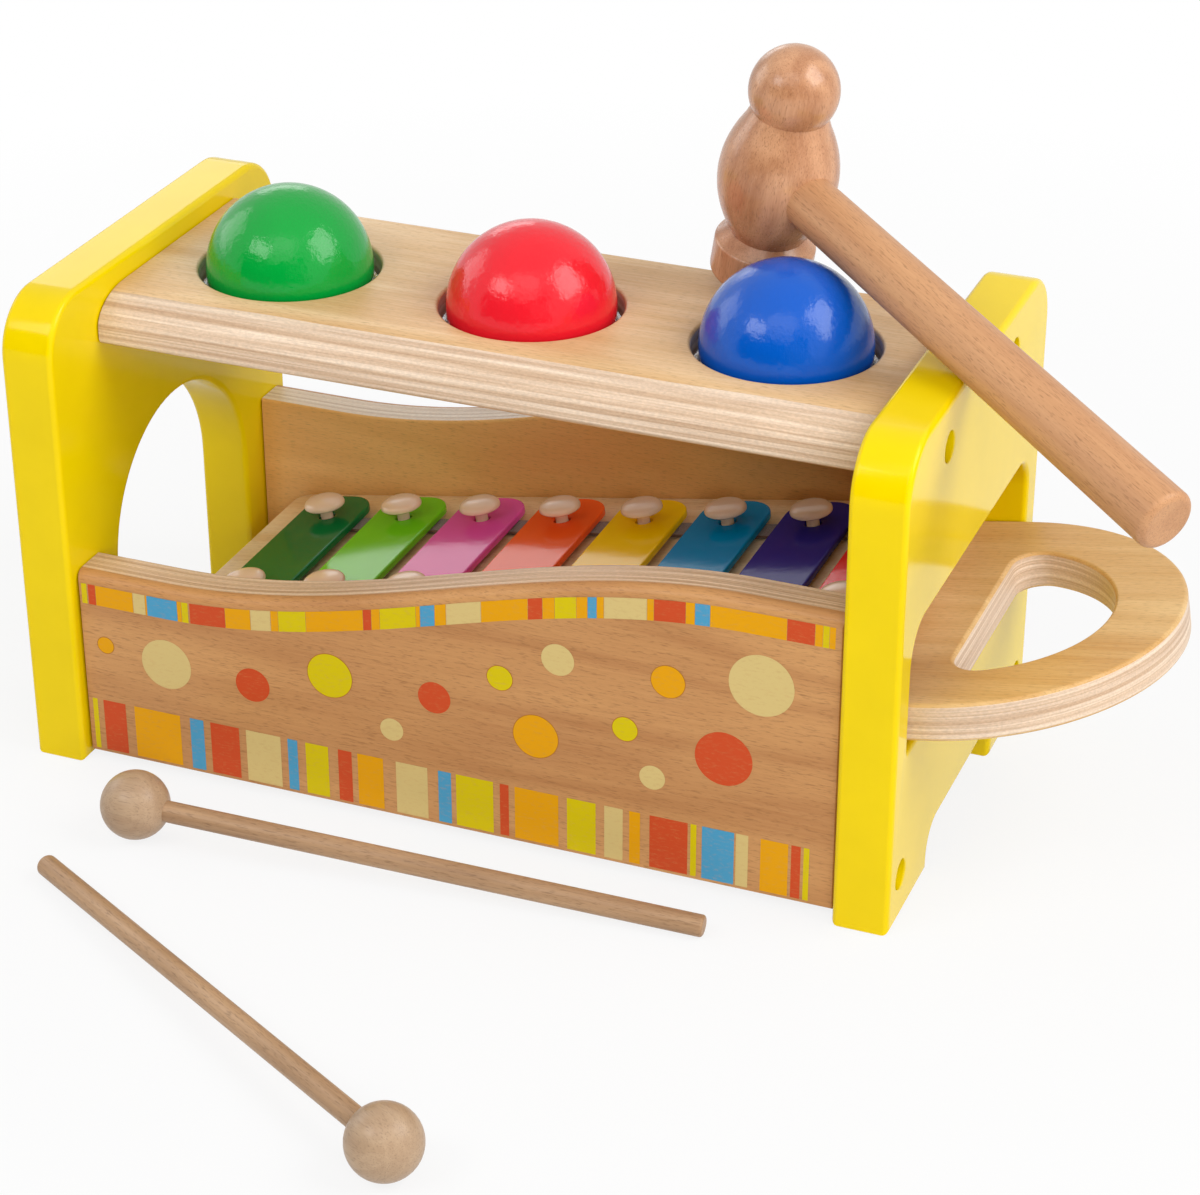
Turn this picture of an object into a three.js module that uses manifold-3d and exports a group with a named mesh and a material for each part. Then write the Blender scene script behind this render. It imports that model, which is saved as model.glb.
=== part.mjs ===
// A wooden pounding bench. Three balls sit in holes in the top board and are hammered through it.
// They drop onto a sloping xylophone and roll out through the arch in the left end.
// The xylophone slides out through the window in the right end. A hammer and two mallets lie with it.
// Millimetres, +Z up. X runs along the bench, +Y towards its back.
import * as THREE from 'three';
import { mergeVertices } from 'three/addons/utils/BufferGeometryUtils.js';
import Module from 'manifold-3d';

const wasm = await Module();
wasm.setup();

// Side panels
const benchLength = 245;
const benchDepth = 128;
const benchHeight = 134;
const sideThickness = 15;
const sideCornerRadius = 16;
const footLength = 34;
const footCutHeight = 11.5;
const footCutRadius = 8;
const archRadius = 37.5;
const archCentreHeight = 47;
const windowCornerRadius = 10;

// Clearances
const seatGap = 0.3; // between pieces that lie or press on each other
const slideClearance = 0.4; // beside the slide board in its grooves and its window
const windowHeadroom = 1.8; // above the pins as they pass the window
const trayEndGap = 13.2; // from the left panel to the xylophone pushed home
const overshoot = 1; // of a cutter past the face that it opens

// Top board
const boardWidth = 80;
const boardThickness = 13;
const boardDrop = 6; // below the side panels' tops
const boardFrontRun = 15; // the front edge's round-over, across the board
const boardFrontEdge = 4.5; // upright part of the front edge
const boardBackRadius = 2;

// Balls and the flexible rings that hold them
const ballDiameter = 45;
const ballEndMargin = 12.7; // from the outer holes to the side panels
const ballSink = 0.5; // ball's middle below the board's top
const ballHoleMargin = 2;
const ringWall = 1;
const ringLipDepth = 5.3; // lip below the ball's middle
const ringLipThickness = 1.4;
const ringFlangeWidth = 4;
const ringFlangeThickness = 1.5;

// Front and rear panels
const waveThickness = 13;
const waveRecess = 3; // behind the side panels' edges
const waveLift = 2.2; // above the floor
const waveLow = 57.5; // top edge at the left end
const waveHigh = 86.7; // and at the right end
const waveRearRise = 4; // rear panel's top edge above the front panel's
const waveFlat = 25.5; // level stretch at each end
const waveEase = 60; // how slowly the rise starts and ends
const grooveDepth = 6;

// Xylophone
const trayTilt = THREE.MathUtils.degToRad(9.8);
const trayHeight = 62; // slide board's top where it crosses the right panel's outer face
const slideBoardThickness = 10.4;
const handleOffset = 2; // centre of the handle's half round beyond the right panel
const handleRim = 18.5;
const fingerHoleSetback = 3.6; // straight side of the finger hole beyond the right panel
const fingerHoleRadius = 7;
const barBoardThickness = 8;
const barBoardRightGap = 15; // from the right panel's outer face
const barBoardCorner = 5;
const barCount = 8;
const barGap = 4.6;
const barLength = 78;
const barThickness = 2;
const barCornerRadius = 8.5;
const barMarginLeft = 11.1;
const barMarginRight = 0.2;
const feltThickness = 0.9;
const feltWidth = 8;
const pinRowSpacing = 50;
const pinShaftDiameter = 3.6;
const pinHoleClearance = 0.5; // round the shaft in a bar
const pinHeadDiameter = 11.8;
const pinHeadHeight = 3.8;
const pinHeadRim = 1.4; // widest part above the head's underside
const pinHeadUndercut = 1; // of the underside's radius
const pinRise = 2.2; // head's underside above the bar
const pinDepth = 6; // in the bar board

// Screws and dowels
const screwShankDiameter = 3.4;
const screwHeadDiameter = 7;
const screwHeadHeight = 2.4;
const screwHeadDome = 1; // height and inset of the head's rounded edge
const screwLength = 21; // under the head
const counterboreDiameter = 8;
const counterboreDepth = 5;
const boardScrewInset = 10; // from the top board's long edges
const waveScrewHeight = 13;
const dowelDiameter = 6;
const dowelLength = 20;
const trayScrewLength = 13;
const trayScrewInset = 28; // from the bar board's ends
const trayCounterboreDepth = 3.4;

// Hammer
const hammerFaceReach = 31; // face to the handle's axis
const hammerDrumRadius = 13.5;
const hammerFaceRound = 2;
const hammerDrumLength = 11;
const hammerBarrelRadius = 15.8;
const hammerBarrelEndRadius = 11.5;
const hammerBarrelHalf = 15;
const hammerNeckRadius = 10;
const hammerPeenRadius = 11.8;
const hammerPeenReach = 25; // peen's centre from the handle's axis
const hammerHandleLength = 157; // head's axis to the handle's end
const hammerHandleInset = 6; // past the head's axis
const hammerHandleRadius = 7.2;
const hammerHandleEndRadius = 7.9;
const hammerHandleRound = 2;
const hammerYaw = THREE.MathUtils.degToRad(35); // handle towards the front right
const hammerBallGap = 1.6; // from the handle to the blue ball
const hammerHeadSetback = 28.5; // head behind the blue ball, along the handle

// Mallets: the ball's place, along the bench and in front of it, and the stick's heading in degrees
const malletBallRadius = 9.3;
const malletStickRadius = 2.9;
const malletStickLength = 156; // ball's middle to the stick's end
const malletStickRound = 0.8;
const malletStickInset = 4; // of the stick's blind end from the ball's middle
const malletLeftAlong = -76; // balls' places from the bench's middle and its front
const malletLeftAhead = 27.5;
const malletLeftHeading = 4;
const malletRightAlong = 45.3;
const malletRightAhead = 132.5;
const malletRightHeading = 149.3;
const malletPlaces = [
  { name: 'mallet_1', along: malletLeftAlong, ahead: malletLeftAhead, heading: malletLeftHeading },
  { name: 'mallet_2', along: malletRightAlong, ahead: malletRightAhead, heading: malletRightHeading },
];

// Facets of the round shapes
const panelFacets = 8;
const boardFacets = 4;
const waveFacets = 24;
const handleFacets = 14;
const cornerFacets = 3;
const ballFacets = 24;
const holeFacets = 36;
const counterboreFacets = 18;
const screwFacets = 12;
const pinFacets = 10;
const pinHoleFacets = 8;
const pinDomeSteps = 3;
const hammerFacets = 24;
const hammerHandleFacets = 20;
const hammerSteps = 8;
const malletFacets = 20;
const stickFacets = 14;

// Colours
const colours = {
  yellow: { color: 0xe8cd00, roughness: 0.4, metalness: 0 },
  birch: { color: 0xdebe8c, roughness: 0.55, metalness: 0 },
  alder: { color: 0xc8915f, roughness: 0.55, metalness: 0 },
  beech: { color: 0xcd9669, roughness: 0.5, metalness: 0 },
  maple: { color: 0xc8a578, roughness: 0.55, metalness: 0 },
  felt: { color: 0x6b4a30, roughness: 0.95, metalness: 0 },
  pin: { color: 0xebc3a5, roughness: 0.35, metalness: 0 },
  clear: { color: 0xeef2f4, roughness: 0.2, metalness: 0 },
  steel: { color: 0xb4b6b8, roughness: 0.35, metalness: 1 },
};
const ballColours = { green: 0x00a532, red: 0xeb2328, blue: 0x0055c8 };
const barColours = [0x195f32, 0x64a014, 0xc34682, 0xe6501e, 0xebb90a, 0x0078a5, 0x32286e, 0xe1231e];

// Derived places
const halfLength = benchLength / 2;
const halfDepth = benchDepth / 2;
const innerHalf = halfLength - sideThickness;
const boardTop = benchHeight - boardDrop;
const boardBottom = boardTop - boardThickness;
const boardFrontRise = boardThickness - boardFrontEdge;
const ballRadius = ballDiameter / 2;
const ballHeight = boardTop - ballSink;
const holeRadius = ballRadius + ballHoleMargin;
const ballSpacing = innerHalf - ballEndMargin - holeRadius;
const flangeRadius = holeRadius + ringFlangeWidth;
const flangePocket = ringFlangeThickness + seatGap;
const waveOuter = halfDepth - waveRecess;
const waveInner = waveOuter - waveThickness;
const waveMiddle = (waveOuter + waveInner) / 2;
const boardScrewPlace = boardWidth / 2 - boardScrewInset;
const hammerFaceRadius = hammerDrumRadius - hammerFaceRound;

// Heights above the slide board's top, square to it
const barBoardBase = seatGap;
const barBoardTop = barBoardBase + barBoardThickness;
const feltBase = barBoardTop + seatGap;
const barBase = feltBase + feltThickness + seatGap;
const barTop = barBase + barThickness;
const pinHeadBase = barTop + pinRise;
const pinTop = pinHeadBase + pinHeadHeight;

// Places along the slope, counted from the right panel's outer face
const slideHalf = waveInner + grooveDepth - slideClearance;
const trayLeft = -(benchLength - sideThickness - trayEndGap) / Math.cos(trayTilt);
const barBoardRight = -barBoardRightGap;
const barBoardLength = barBoardRight - trayLeft;
const barsLength = barBoardLength - barMarginLeft - barMarginRight;
const barPitch = (barsLength + barGap) / barCount;
const barWidth = barPitch - barGap;
const firstBar = trayLeft + barMarginLeft + barWidth / 2;
const barPlaces = Array.from({ length: barCount }, (_, i) => firstBar + i * barPitch);
const pinRows = { rear: pinRowSpacing / 2, front: -pinRowSpacing / 2 };

// Height, at a place along the bench, of a plane parallel to the slide board's top.
function trayPlaneHeight(above, x) {
  return trayHeight + above / Math.cos(trayTilt) + (x - halfLength) * Math.tan(trayTilt);
}
const windowSill = trayPlaneHeight(-slideBoardThickness, innerHalf) - seatGap;
const windowTop = trayPlaneHeight(pinTop, halfLength) + windowHeadroom;
const windowHalf = slideHalf + slideClearance;
const groovePassing = trayPlaneHeight(-slideBoardThickness, innerHalf - dowelLength);
const dowelHeight = (waveScrewHeight + groovePassing) / 2;

// Solids

const weldDistance = 1e-4;

// A closed three.js geometry, placed by a matrix, as a solid.
function solidOf(geometry, matrix = new THREE.Matrix4()) {
  const bare = geometry.index ? geometry.toNonIndexed() : geometry.clone();
  bare.deleteAttribute('normal');
  bare.deleteAttribute('uv');
  const merged = mergeVertices(bare.applyMatrix4(matrix), weldDistance);
  const corners = merged.index.array;
  const kept = [];
  for (let i = 0; i < corners.length; i += 3) {
    const [a, b, c] = corners.slice(i, i + 3);
    if (a !== b && b !== c && c !== a) {
      kept.push(a, b, c);
    }
  }
  const vertProperties = new Float32Array(merged.attributes.position.array);
  return new wasm.Manifold(new wasm.Mesh({ numProp: 3, vertProperties, triVerts: new Uint32Array(kept) }));
}

function geometryOf(solid) {
  const mesh = solid.getMesh();
  const geometry = new THREE.BufferGeometry();
  geometry.setAttribute('position', new THREE.BufferAttribute(mesh.vertProperties, 3));
  geometry.setIndex(new THREE.BufferAttribute(mesh.triVerts, 1));
  const flat = geometry.toNonIndexed();
  flat.computeVertexNormals();
  return flat;
}

function subtractAll(solid, cutters) {
  return cutters.reduce((left, cutter) => left.subtract(cutter), solid);
}

function materialOf(name, colour) {
  const look = colours[name];
  return new THREE.MeshStandardMaterial({ ...look, color: colour ?? look.color });
}

function part(name, solid, material) {
  const mesh = new THREE.Mesh(geometryOf(solid), material);
  mesh.name = name;
  return mesh;
}

function extrude(shape, depth, facets) {
  return new THREE.ExtrudeGeometry(shape, { depth, curveSegments: facets, bevelEnabled: false });
}

// A profile of [radius, height] pairs turned about Z.
function turned(profile, facets) {
  return new THREE.LatheGeometry(profile.map(([r, z]) => new THREE.Vector2(r, z)), facets)
    .rotateX(Math.PI / 2);
}

// A round bar along Z from one height to another.
function rod(radius, from, to, facets) {
  return turned([[0, from], [radius, from], [radius, to], [0, to]], facets);
}

function sphere(radius, facets) {
  return new THREE.SphereGeometry(radius, facets, facets / 2).rotateX(Math.PI / 2);
}

// Turns what is built along Z to lie along X, pointing to either end of the bench.
function alongX(direction, x, y, z) {
  return new THREE.Matrix4().makeTranslation(x, y, z)
    .multiply(new THREE.Matrix4().makeRotationY(direction * Math.PI / 2));
}

function moved(x, y, z) {
  return new THREE.Matrix4().makeTranslation(x, y, z);
}

// A rectangle with its four corner radii given from the lower left, anticlockwise.
function roundedRectangle(path, left, bottom, right, top, radii) {
  const [a, b, c, d] = radii;
  path.moveTo(left + a, bottom);
  path.lineTo(right - b, bottom);
  path.absarc(right - b, bottom + b, b, -Math.PI / 2, 0);
  path.lineTo(right, top - c);
  path.absarc(right - c, top - c, c, 0, Math.PI / 2);
  path.lineTo(left + d, top);
  path.absarc(left + d, top - d, d, Math.PI / 2, Math.PI);
  path.lineTo(left, bottom + a);
  path.absarc(left + a, bottom + a, a, Math.PI, 1.5 * Math.PI);
  return path;
}

// Profiles of the side panels are drawn in Y and Z, then stood on end along X.
const standOnEnd = new THREE.Matrix4().set(
  0, 0, 1, 0,
  1, 0, 0, 0,
  0, 1, 0, 0,
  0, 0, 0, 1,
);

// Side panels

// Upper outline of both side panels, from the right foot round over the top to the left foot.
function sideTop(shape) {
  const r = sideCornerRadius;
  shape.lineTo(halfDepth, benchHeight - r);
  shape.absarc(halfDepth - r, benchHeight - r, r, 0, Math.PI / 2);
  shape.lineTo(-halfDepth + r, benchHeight);
  shape.absarc(-halfDepth + r, benchHeight - r, r, Math.PI / 2, Math.PI);
  shape.lineTo(-halfDepth, 0);
}

function leftProfile() {
  const shape = new THREE.Shape();
  shape.moveTo(archRadius, 0);
  shape.lineTo(halfDepth, 0);
  sideTop(shape);
  shape.lineTo(-archRadius, 0);
  shape.lineTo(-archRadius, archCentreHeight);
  shape.absarc(0, archCentreHeight, archRadius, Math.PI, 0, true);
  return shape;
}

function rightProfile() {
  const inside = halfDepth - footLength;
  const r = footCutRadius;
  const shape = new THREE.Shape();
  shape.moveTo(inside, 0);
  shape.lineTo(halfDepth, 0);
  sideTop(shape);
  shape.lineTo(-inside, 0);
  shape.lineTo(-inside, footCutHeight - r);
  shape.absarc(-inside + r, footCutHeight - r, r, Math.PI, Math.PI / 2, true);
  shape.lineTo(inside - r, footCutHeight);
  shape.absarc(inside - r, footCutHeight - r, r, Math.PI / 2, 0, true);
  const corner = windowCornerRadius;
  const sill = slideClearance;
  shape.holes.push(roundedRectangle(
    new THREE.Path(), -windowHalf, windowSill, windowHalf, windowTop, [sill, sill, corner, corner]));
  return shape;
}

// Screw and dowel axes at each end of the bench, in Y and Z.
const boardScrews = [
  { name: 'board_front', y: -boardScrewPlace, z: (boardTop + boardBottom) / 2 },
  { name: 'board_rear', y: boardScrewPlace, z: (boardTop + boardBottom) / 2 },
];
const waveScrews = [
  { name: 'front_panel', y: -waveMiddle, z: waveScrewHeight },
  { name: 'rear_panel', y: waveMiddle, z: waveScrewHeight },
];
const endScrews = [...boardScrews, ...waveScrews];
const endDowels = [
  { name: 'front', y: -waveMiddle, z: dowelHeight },
  { name: 'rear', y: waveMiddle, z: dowelHeight },
];
const headSeat = halfLength - counterboreDepth;

function screwCuts(end) {
  return endScrews.flatMap(({ y, z }) => [
    solidOf(rod(counterboreDiameter / 2, headSeat, halfLength + overshoot, counterboreFacets),
      alongX(end, 0, y, z)),
    solidOf(rod(screwShankDiameter / 2 + seatGap, 0, halfLength, screwFacets), alongX(end, 0, y, z)),
  ]);
}

function dowelRod(end, { y, z }, radius, length) {
  const geometry = rod(radius, innerHalf - length / 2, innerHalf + length / 2, screwFacets);
  return solidOf(geometry, alongX(end, 0, y, z));
}

function dowelCuts(end) {
  const hole = dowelLength + 2 * seatGap;
  return endDowels.map((place) => dowelRod(end, place, dowelDiameter / 2 + seatGap, hole));
}

function sidePanel(name, profile, end) {
  const x = end > 0 ? innerHalf : -halfLength;
  const blank = solidOf(extrude(profile, sideThickness, panelFacets), moved(x, 0, 0).multiply(standOnEnd));
  return part(name, subtractAll(blank, [...screwCuts(end), ...dowelCuts(end)]), materialOf('yellow'));
}

// Holes that the end screws and dowels need in the ends of the boards between the side panels.
function pilotHole(end, { y, z }) {
  const tip = headSeat - screwLength;
  return solidOf(rod(screwShankDiameter / 2 + seatGap, tip - seatGap, innerHalf + overshoot, screwFacets),
    alongX(end, 0, y, z));
}

// Top board

function boardProfile() {
  const half = boardWidth / 2;
  const r = boardBackRadius;
  const shape = new THREE.Shape();
  shape.moveTo(-half + r, boardBottom);
  shape.lineTo(half - r, boardBottom);
  shape.absarc(half - r, boardBottom + r, r, -Math.PI / 2, 0);
  shape.lineTo(half, boardTop - r);
  shape.absarc(half - r, boardTop - r, r, 0, Math.PI / 2);
  shape.lineTo(-half + boardFrontRun, boardTop);
  shape.absellipse(-half + boardFrontRun, boardTop - boardFrontRise, boardFrontRun, boardFrontRise,
    Math.PI / 2, Math.PI);
  shape.lineTo(-half, boardBottom + r);
  shape.absarc(-half + r, boardBottom + r, r, Math.PI, 1.5 * Math.PI);
  return shape;
}

const ballPlaces = { green: -ballSpacing, red: 0, blue: ballSpacing };
const boardHalfLength = innerHalf - seatGap;

function topBoard() {
  const profile = extrude(boardProfile(), 2 * boardHalfLength, boardFacets);
  const blank = solidOf(profile, moved(-boardHalfLength, 0, 0).multiply(standOnEnd));
  const holes = Object.values(ballPlaces).flatMap((x) => [
    solidOf(rod(holeRadius, boardBottom - overshoot, boardTop + overshoot, holeFacets), moved(x, 0, 0)),
    solidOf(rod(flangeRadius + seatGap, boardBottom - overshoot, boardBottom + flangePocket, holeFacets),
      moved(x, 0, 0)),
  ]);
  const pilots = [-1, 1].flatMap((end) => boardScrews.map((place) => pilotHole(end, place)));
  return part('top_board', subtractAll(blank, [...holes, ...pilots]), materialOf('birch'));
}

// Balls and rings

const ringOuter = holeRadius - seatGap;
const ringInner = ringOuter - ringWall;
const lipTop = ballHeight - ringLipDepth;
const lipRadius = Math.sqrt((ballRadius + seatGap) ** 2 - ringLipDepth ** 2);

function ballRing(colour, x) {
  const base = boardBottom;
  const flangeTop = base + ringFlangeThickness;
  const lipBase = lipTop - ringLipThickness;
  const profile = [
    [ringInner, base], [flangeRadius, base], [flangeRadius, flangeTop], [ringOuter, flangeTop],
    [ringOuter, lipTop], [lipRadius, lipTop], [lipRadius, lipBase], [ringInner, lipBase], [ringInner, base],
  ];
  return part(`ball_ring_${colour}`, solidOf(turned(profile, holeFacets), moved(x, 0, 0)),
    materialOf('clear'));
}

function ball(colour, x) {
  return part(`ball_${colour}`, solidOf(sphere(ballRadius, ballFacets), moved(x, 0, ballHeight)),
    materialOf('pin', ballColours[colour]));
}

// Front and rear panels

// The tray's frame: X along its slope from the right panel's outer face, Z square to its boards.
const trayFrame = moved(halfLength, 0, trayHeight)
  .multiply(new THREE.Matrix4().makeRotationY(-trayTilt));

function wavePanel(name, side) {
  const half = innerHalf - seatGap;
  const run = innerHalf - waveFlat;
  const rise = side > 0 ? waveRearRise : 0;
  const low = waveLow + rise;
  const high = waveHigh + rise;
  const shape = new THREE.Shape();
  shape.moveTo(-half, waveLift);
  shape.lineTo(half, waveLift);
  shape.lineTo(half, high);
  shape.lineTo(run, high);
  shape.bezierCurveTo(run - waveEase, high, -run + waveEase, low, -run, low);
  shape.lineTo(-half, low);
  const near = side > 0 ? waveInner : -waveOuter;
  const stand = moved(0, near + waveThickness, 0).multiply(new THREE.Matrix4().makeRotationX(Math.PI / 2));
  const blank = solidOf(extrude(shape, waveThickness, waveFacets), stand);
  const grooveLength = slideClearance - trayLeft + overshoot;
  const grooveHeight = slideBoardThickness + 2 * seatGap;
  const groove = solidOf(new THREE.BoxGeometry(grooveLength, grooveDepth, grooveHeight),
    trayFrame.clone().multiply(moved(trayLeft - slideClearance + grooveLength / 2,
      side * (waveInner + grooveDepth / 2), -slideBoardThickness / 2)));
  const screws = waveScrews.filter(({ y }) => y * side > 0);
  const dowels = endDowels.filter(({ y }) => y * side > 0);
  const hole = dowelLength + 2 * seatGap;
  const cuts = [-1, 1].flatMap((end) => [
    ...screws.map((place) => pilotHole(end, place)),
    ...dowels.map((place) => dowelRod(end, place, dowelDiameter / 2 + seatGap, hole)),
  ]);
  return part(name, subtractAll(blank, [groove, ...cuts]), materialOf('alder'));
}

// Fasteners of the bench

function screwProfile(length) {
  const shank = screwShankDiameter / 2;
  const head = screwHeadDiameter / 2;
  return [[0, -length], [shank, -length + shank], [shank, 0], [head, 0],
    [head, screwHeadHeight - screwHeadDome], [head - screwHeadDome, screwHeadHeight], [0, screwHeadHeight]];
}

function endScrew(end, { name, y, z }) {
  const label = `screw_${end > 0 ? 'right' : 'left'}_${name}`;
  const geometry = turned(screwProfile(screwLength), screwFacets);
  const place = alongX(end, end * (headSeat + seatGap), y, z);
  return part(label, solidOf(geometry, place), materialOf('steel'));
}

function dowel(end, place) {
  const label = `dowel_${end > 0 ? 'right' : 'left'}_${place.name}`;
  return part(label, dowelRod(end, place, dowelDiameter / 2, dowelLength), materialOf('maple'));
}

// Xylophone, built flat and tilted as a group

function slideBoard(screwPlaces) {
  const r = slideHalf;
  const shape = new THREE.Shape();
  shape.moveTo(trayLeft, -r);
  shape.lineTo(handleOffset, -r);
  shape.absarc(handleOffset, 0, r, -Math.PI / 2, Math.PI / 2);
  shape.lineTo(trayLeft, r);
  const inner = r - handleRim;
  const fillet = fingerHoleRadius;
  const side = fingerHoleSetback;
  // The fillet touches the straight side and the round of the hole from inside.
  const filletX = side + fillet - handleOffset;
  const filletY = Math.sqrt((inner - fillet) ** 2 - filletX ** 2);
  const turn = Math.atan2(filletY, filletX);
  const hole = new THREE.Path();
  hole.absarc(handleOffset, 0, inner, -turn, turn);
  hole.absarc(handleOffset + filletX, filletY, fillet, turn, Math.PI);
  hole.absarc(handleOffset + filletX, -filletY, fillet, Math.PI, 2 * Math.PI - turn);
  shape.holes.push(hole);
  const underside = -slideBoardThickness;
  const headTop = underside + trayCounterboreDepth;
  const blank = solidOf(extrude(shape, slideBoardThickness, handleFacets), moved(0, 0, underside));
  const cuts = screwPlaces.flatMap((u) => [
    solidOf(rod(counterboreDiameter / 2, underside - overshoot, headTop, screwFacets), moved(u, 0, 0)),
    solidOf(rod(screwShankDiameter / 2 + seatGap, underside, overshoot, screwFacets), moved(u, 0, 0)),
  ]);
  return part('xylophone_slide_board', subtractAll(blank, cuts), materialOf('birch'));
}

function pinHoles(radius, from, to, rows) {
  const cutter = rod(radius, from, to, pinHoleFacets);
  return rows.flatMap((y) => barPlaces.map((u) => solidOf(cutter, moved(u, y, 0))));
}

function barBoard(screwPlaces) {
  const half = waveInner - seatGap;
  const corners = Array(4).fill(barBoardCorner);
  const shape = roundedRectangle(new THREE.Shape(), trayLeft, -half, barBoardRight, half, corners);
  const blank = solidOf(extrude(shape, barBoardThickness, cornerFacets), moved(0, 0, barBoardBase));
  const pin = pinShaftDiameter / 2 + seatGap;
  const shank = screwShankDiameter / 2 + seatGap;
  const tip = trayScrewLength + trayCounterboreDepth - slideBoardThickness;
  const cuts = [
    ...pinHoles(pin, barBoardTop - pinDepth, barBoardTop + overshoot, Object.values(pinRows)),
    ...screwPlaces.map((u) => solidOf(rod(shank, 0, tip + seatGap, screwFacets), moved(u, 0, 0))),
  ];
  return part('xylophone_bar_board', subtractAll(blank, cuts), materialOf('birch'));
}

function feltStrip(row, y) {
  const geometry = new THREE.BoxGeometry(barsLength, feltWidth, feltThickness);
  const middle = trayLeft + barMarginLeft + barsLength / 2;
  const blank = solidOf(geometry, moved(middle, y, feltBase + feltThickness / 2));
  const radius = pinShaftDiameter / 2 + seatGap;
  const holes = pinHoles(radius, feltBase - overshoot, feltBase + feltThickness + overshoot, [y]);
  return part(`felt_${row}`, subtractAll(blank, holes), materialOf('felt'));
}

function bar(index) {
  const half = barWidth / 2;
  const corners = Array(4).fill(barCornerRadius);
  const shape = roundedRectangle(new THREE.Shape(), -half, -barLength / 2, half, barLength / 2, corners);
  const u = barPlaces[index];
  const blank = solidOf(extrude(shape, barThickness, cornerFacets), moved(u, 0, barBase));
  const radius = pinShaftDiameter / 2 + pinHoleClearance;
  const cutter = rod(radius, barBase - overshoot, barTop + overshoot, pinHoleFacets);
  const holes = Object.values(pinRows).map((y) => solidOf(cutter, moved(u, y, 0)));
  const colour = barColours[index % barColours.length];
  return part(`bar_${index + 1}`, subtractAll(blank, holes), materialOf('steel', colour));
}

function pin(index, row, y) {
  const shaft = pinShaftDiameter / 2;
  const head = pinHeadDiameter / 2;
  const foot = barBoardTop - pinDepth + seatGap;
  const rim = pinHeadBase + pinHeadRim;
  const profile = [[0, foot], [shaft, foot], [shaft, pinHeadBase], [head - pinHeadUndercut, pinHeadBase]];
  for (let i = 0; i < pinDomeSteps; i += 1) {
    const angle = (i / pinDomeSteps) * (Math.PI / 2);
    profile.push([head * Math.cos(angle), rim + (pinTop - rim) * Math.sin(angle)]);
  }
  profile.push([0, pinTop]);
  const solid = solidOf(turned(profile, pinFacets), moved(barPlaces[index], y, 0));
  return part(`pin_${row}_${index + 1}`, solid, materialOf('pin'));
}

function trayScrew(side, u) {
  const seat = -slideBoardThickness + trayCounterboreDepth - seatGap;
  const place = moved(u, 0, seat).multiply(new THREE.Matrix4().makeRotationX(Math.PI));
  return part(`tray_screw_${side}`, solidOf(turned(screwProfile(trayScrewLength), screwFacets), place),
    materialOf('steel'));
}

function xylophone() {
  const tray = new THREE.Group();
  const screws = { left: trayLeft + trayScrewInset, right: barBoardRight - trayScrewInset };
  const screwPlaces = Object.values(screws);
  tray.add(slideBoard(screwPlaces), barBoard(screwPlaces));
  for (const [row, y] of Object.entries(pinRows)) {
    tray.add(feltStrip(row, y));
    barPlaces.forEach((_, index) => tray.add(pin(index, row, y)));
  }
  barPlaces.forEach((_, index) => tray.add(bar(index)));
  for (const [side, u] of Object.entries(screws)) {
    tray.add(trayScrew(side, u));
  }
  tray.applyMatrix4(trayFrame);
  return tray;
}

// Hammer: its head stands on the top board, and its handle leans on the right panel

// The head's axis is Z and the handle's is X, through the middle of the barrel.
function hammerHead() {
  const face = -hammerFaceReach;
  const drumEnd = face + hammerDrumLength;
  const profile = [
    [0, face], [hammerFaceRadius, face], [hammerDrumRadius, face + hammerFaceRound],
    [hammerDrumRadius, drumEnd], [hammerNeckRadius, (drumEnd - hammerBarrelHalf) / 2],
  ];
  for (let i = 0; i <= hammerSteps; i += 1) {
    const share = 2 * i / hammerSteps - 1;
    const swell = (hammerBarrelRadius - hammerBarrelEndRadius) * (1 - share ** 2);
    profile.push([hammerBarrelEndRadius + swell, hammerBarrelHalf * share]);
  }
  const neckAngle = Math.PI - Math.asin(hammerNeckRadius / hammerPeenRadius);
  for (let i = 0; i < hammerSteps; i += 1) {
    const angle = neckAngle * (1 - i / hammerSteps);
    profile.push([hammerPeenRadius * Math.sin(angle), hammerPeenReach + hammerPeenRadius * Math.cos(angle)]);
  }
  profile.push([0, hammerPeenReach + hammerPeenRadius]);
  const socket = rod(hammerHandleRadius + seatGap, -hammerHandleInset - seatGap, 2 * hammerBarrelRadius,
    hammerHandleFacets);
  const cut = solidOf(socket, alongX(1, 0, 0, 0));
  return part('hammer_head', solidOf(turned(profile, hammerFacets)).subtract(cut), materialOf('beech'));
}

function hammerHandle() {
  const end = hammerHandleLength;
  const profile = [
    [0, -hammerHandleInset], [hammerHandleRadius, -hammerHandleInset],
    [hammerHandleRadius, hammerBarrelRadius], [hammerHandleEndRadius, end - hammerHandleRound],
    [hammerHandleEndRadius - hammerHandleRound, end], [0, end],
  ];
  const solid = solidOf(turned(profile, hammerHandleFacets), alongX(1, 0, 0, 0));
  return part('hammer_handle', solid, materialOf('beech'));
}

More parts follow.
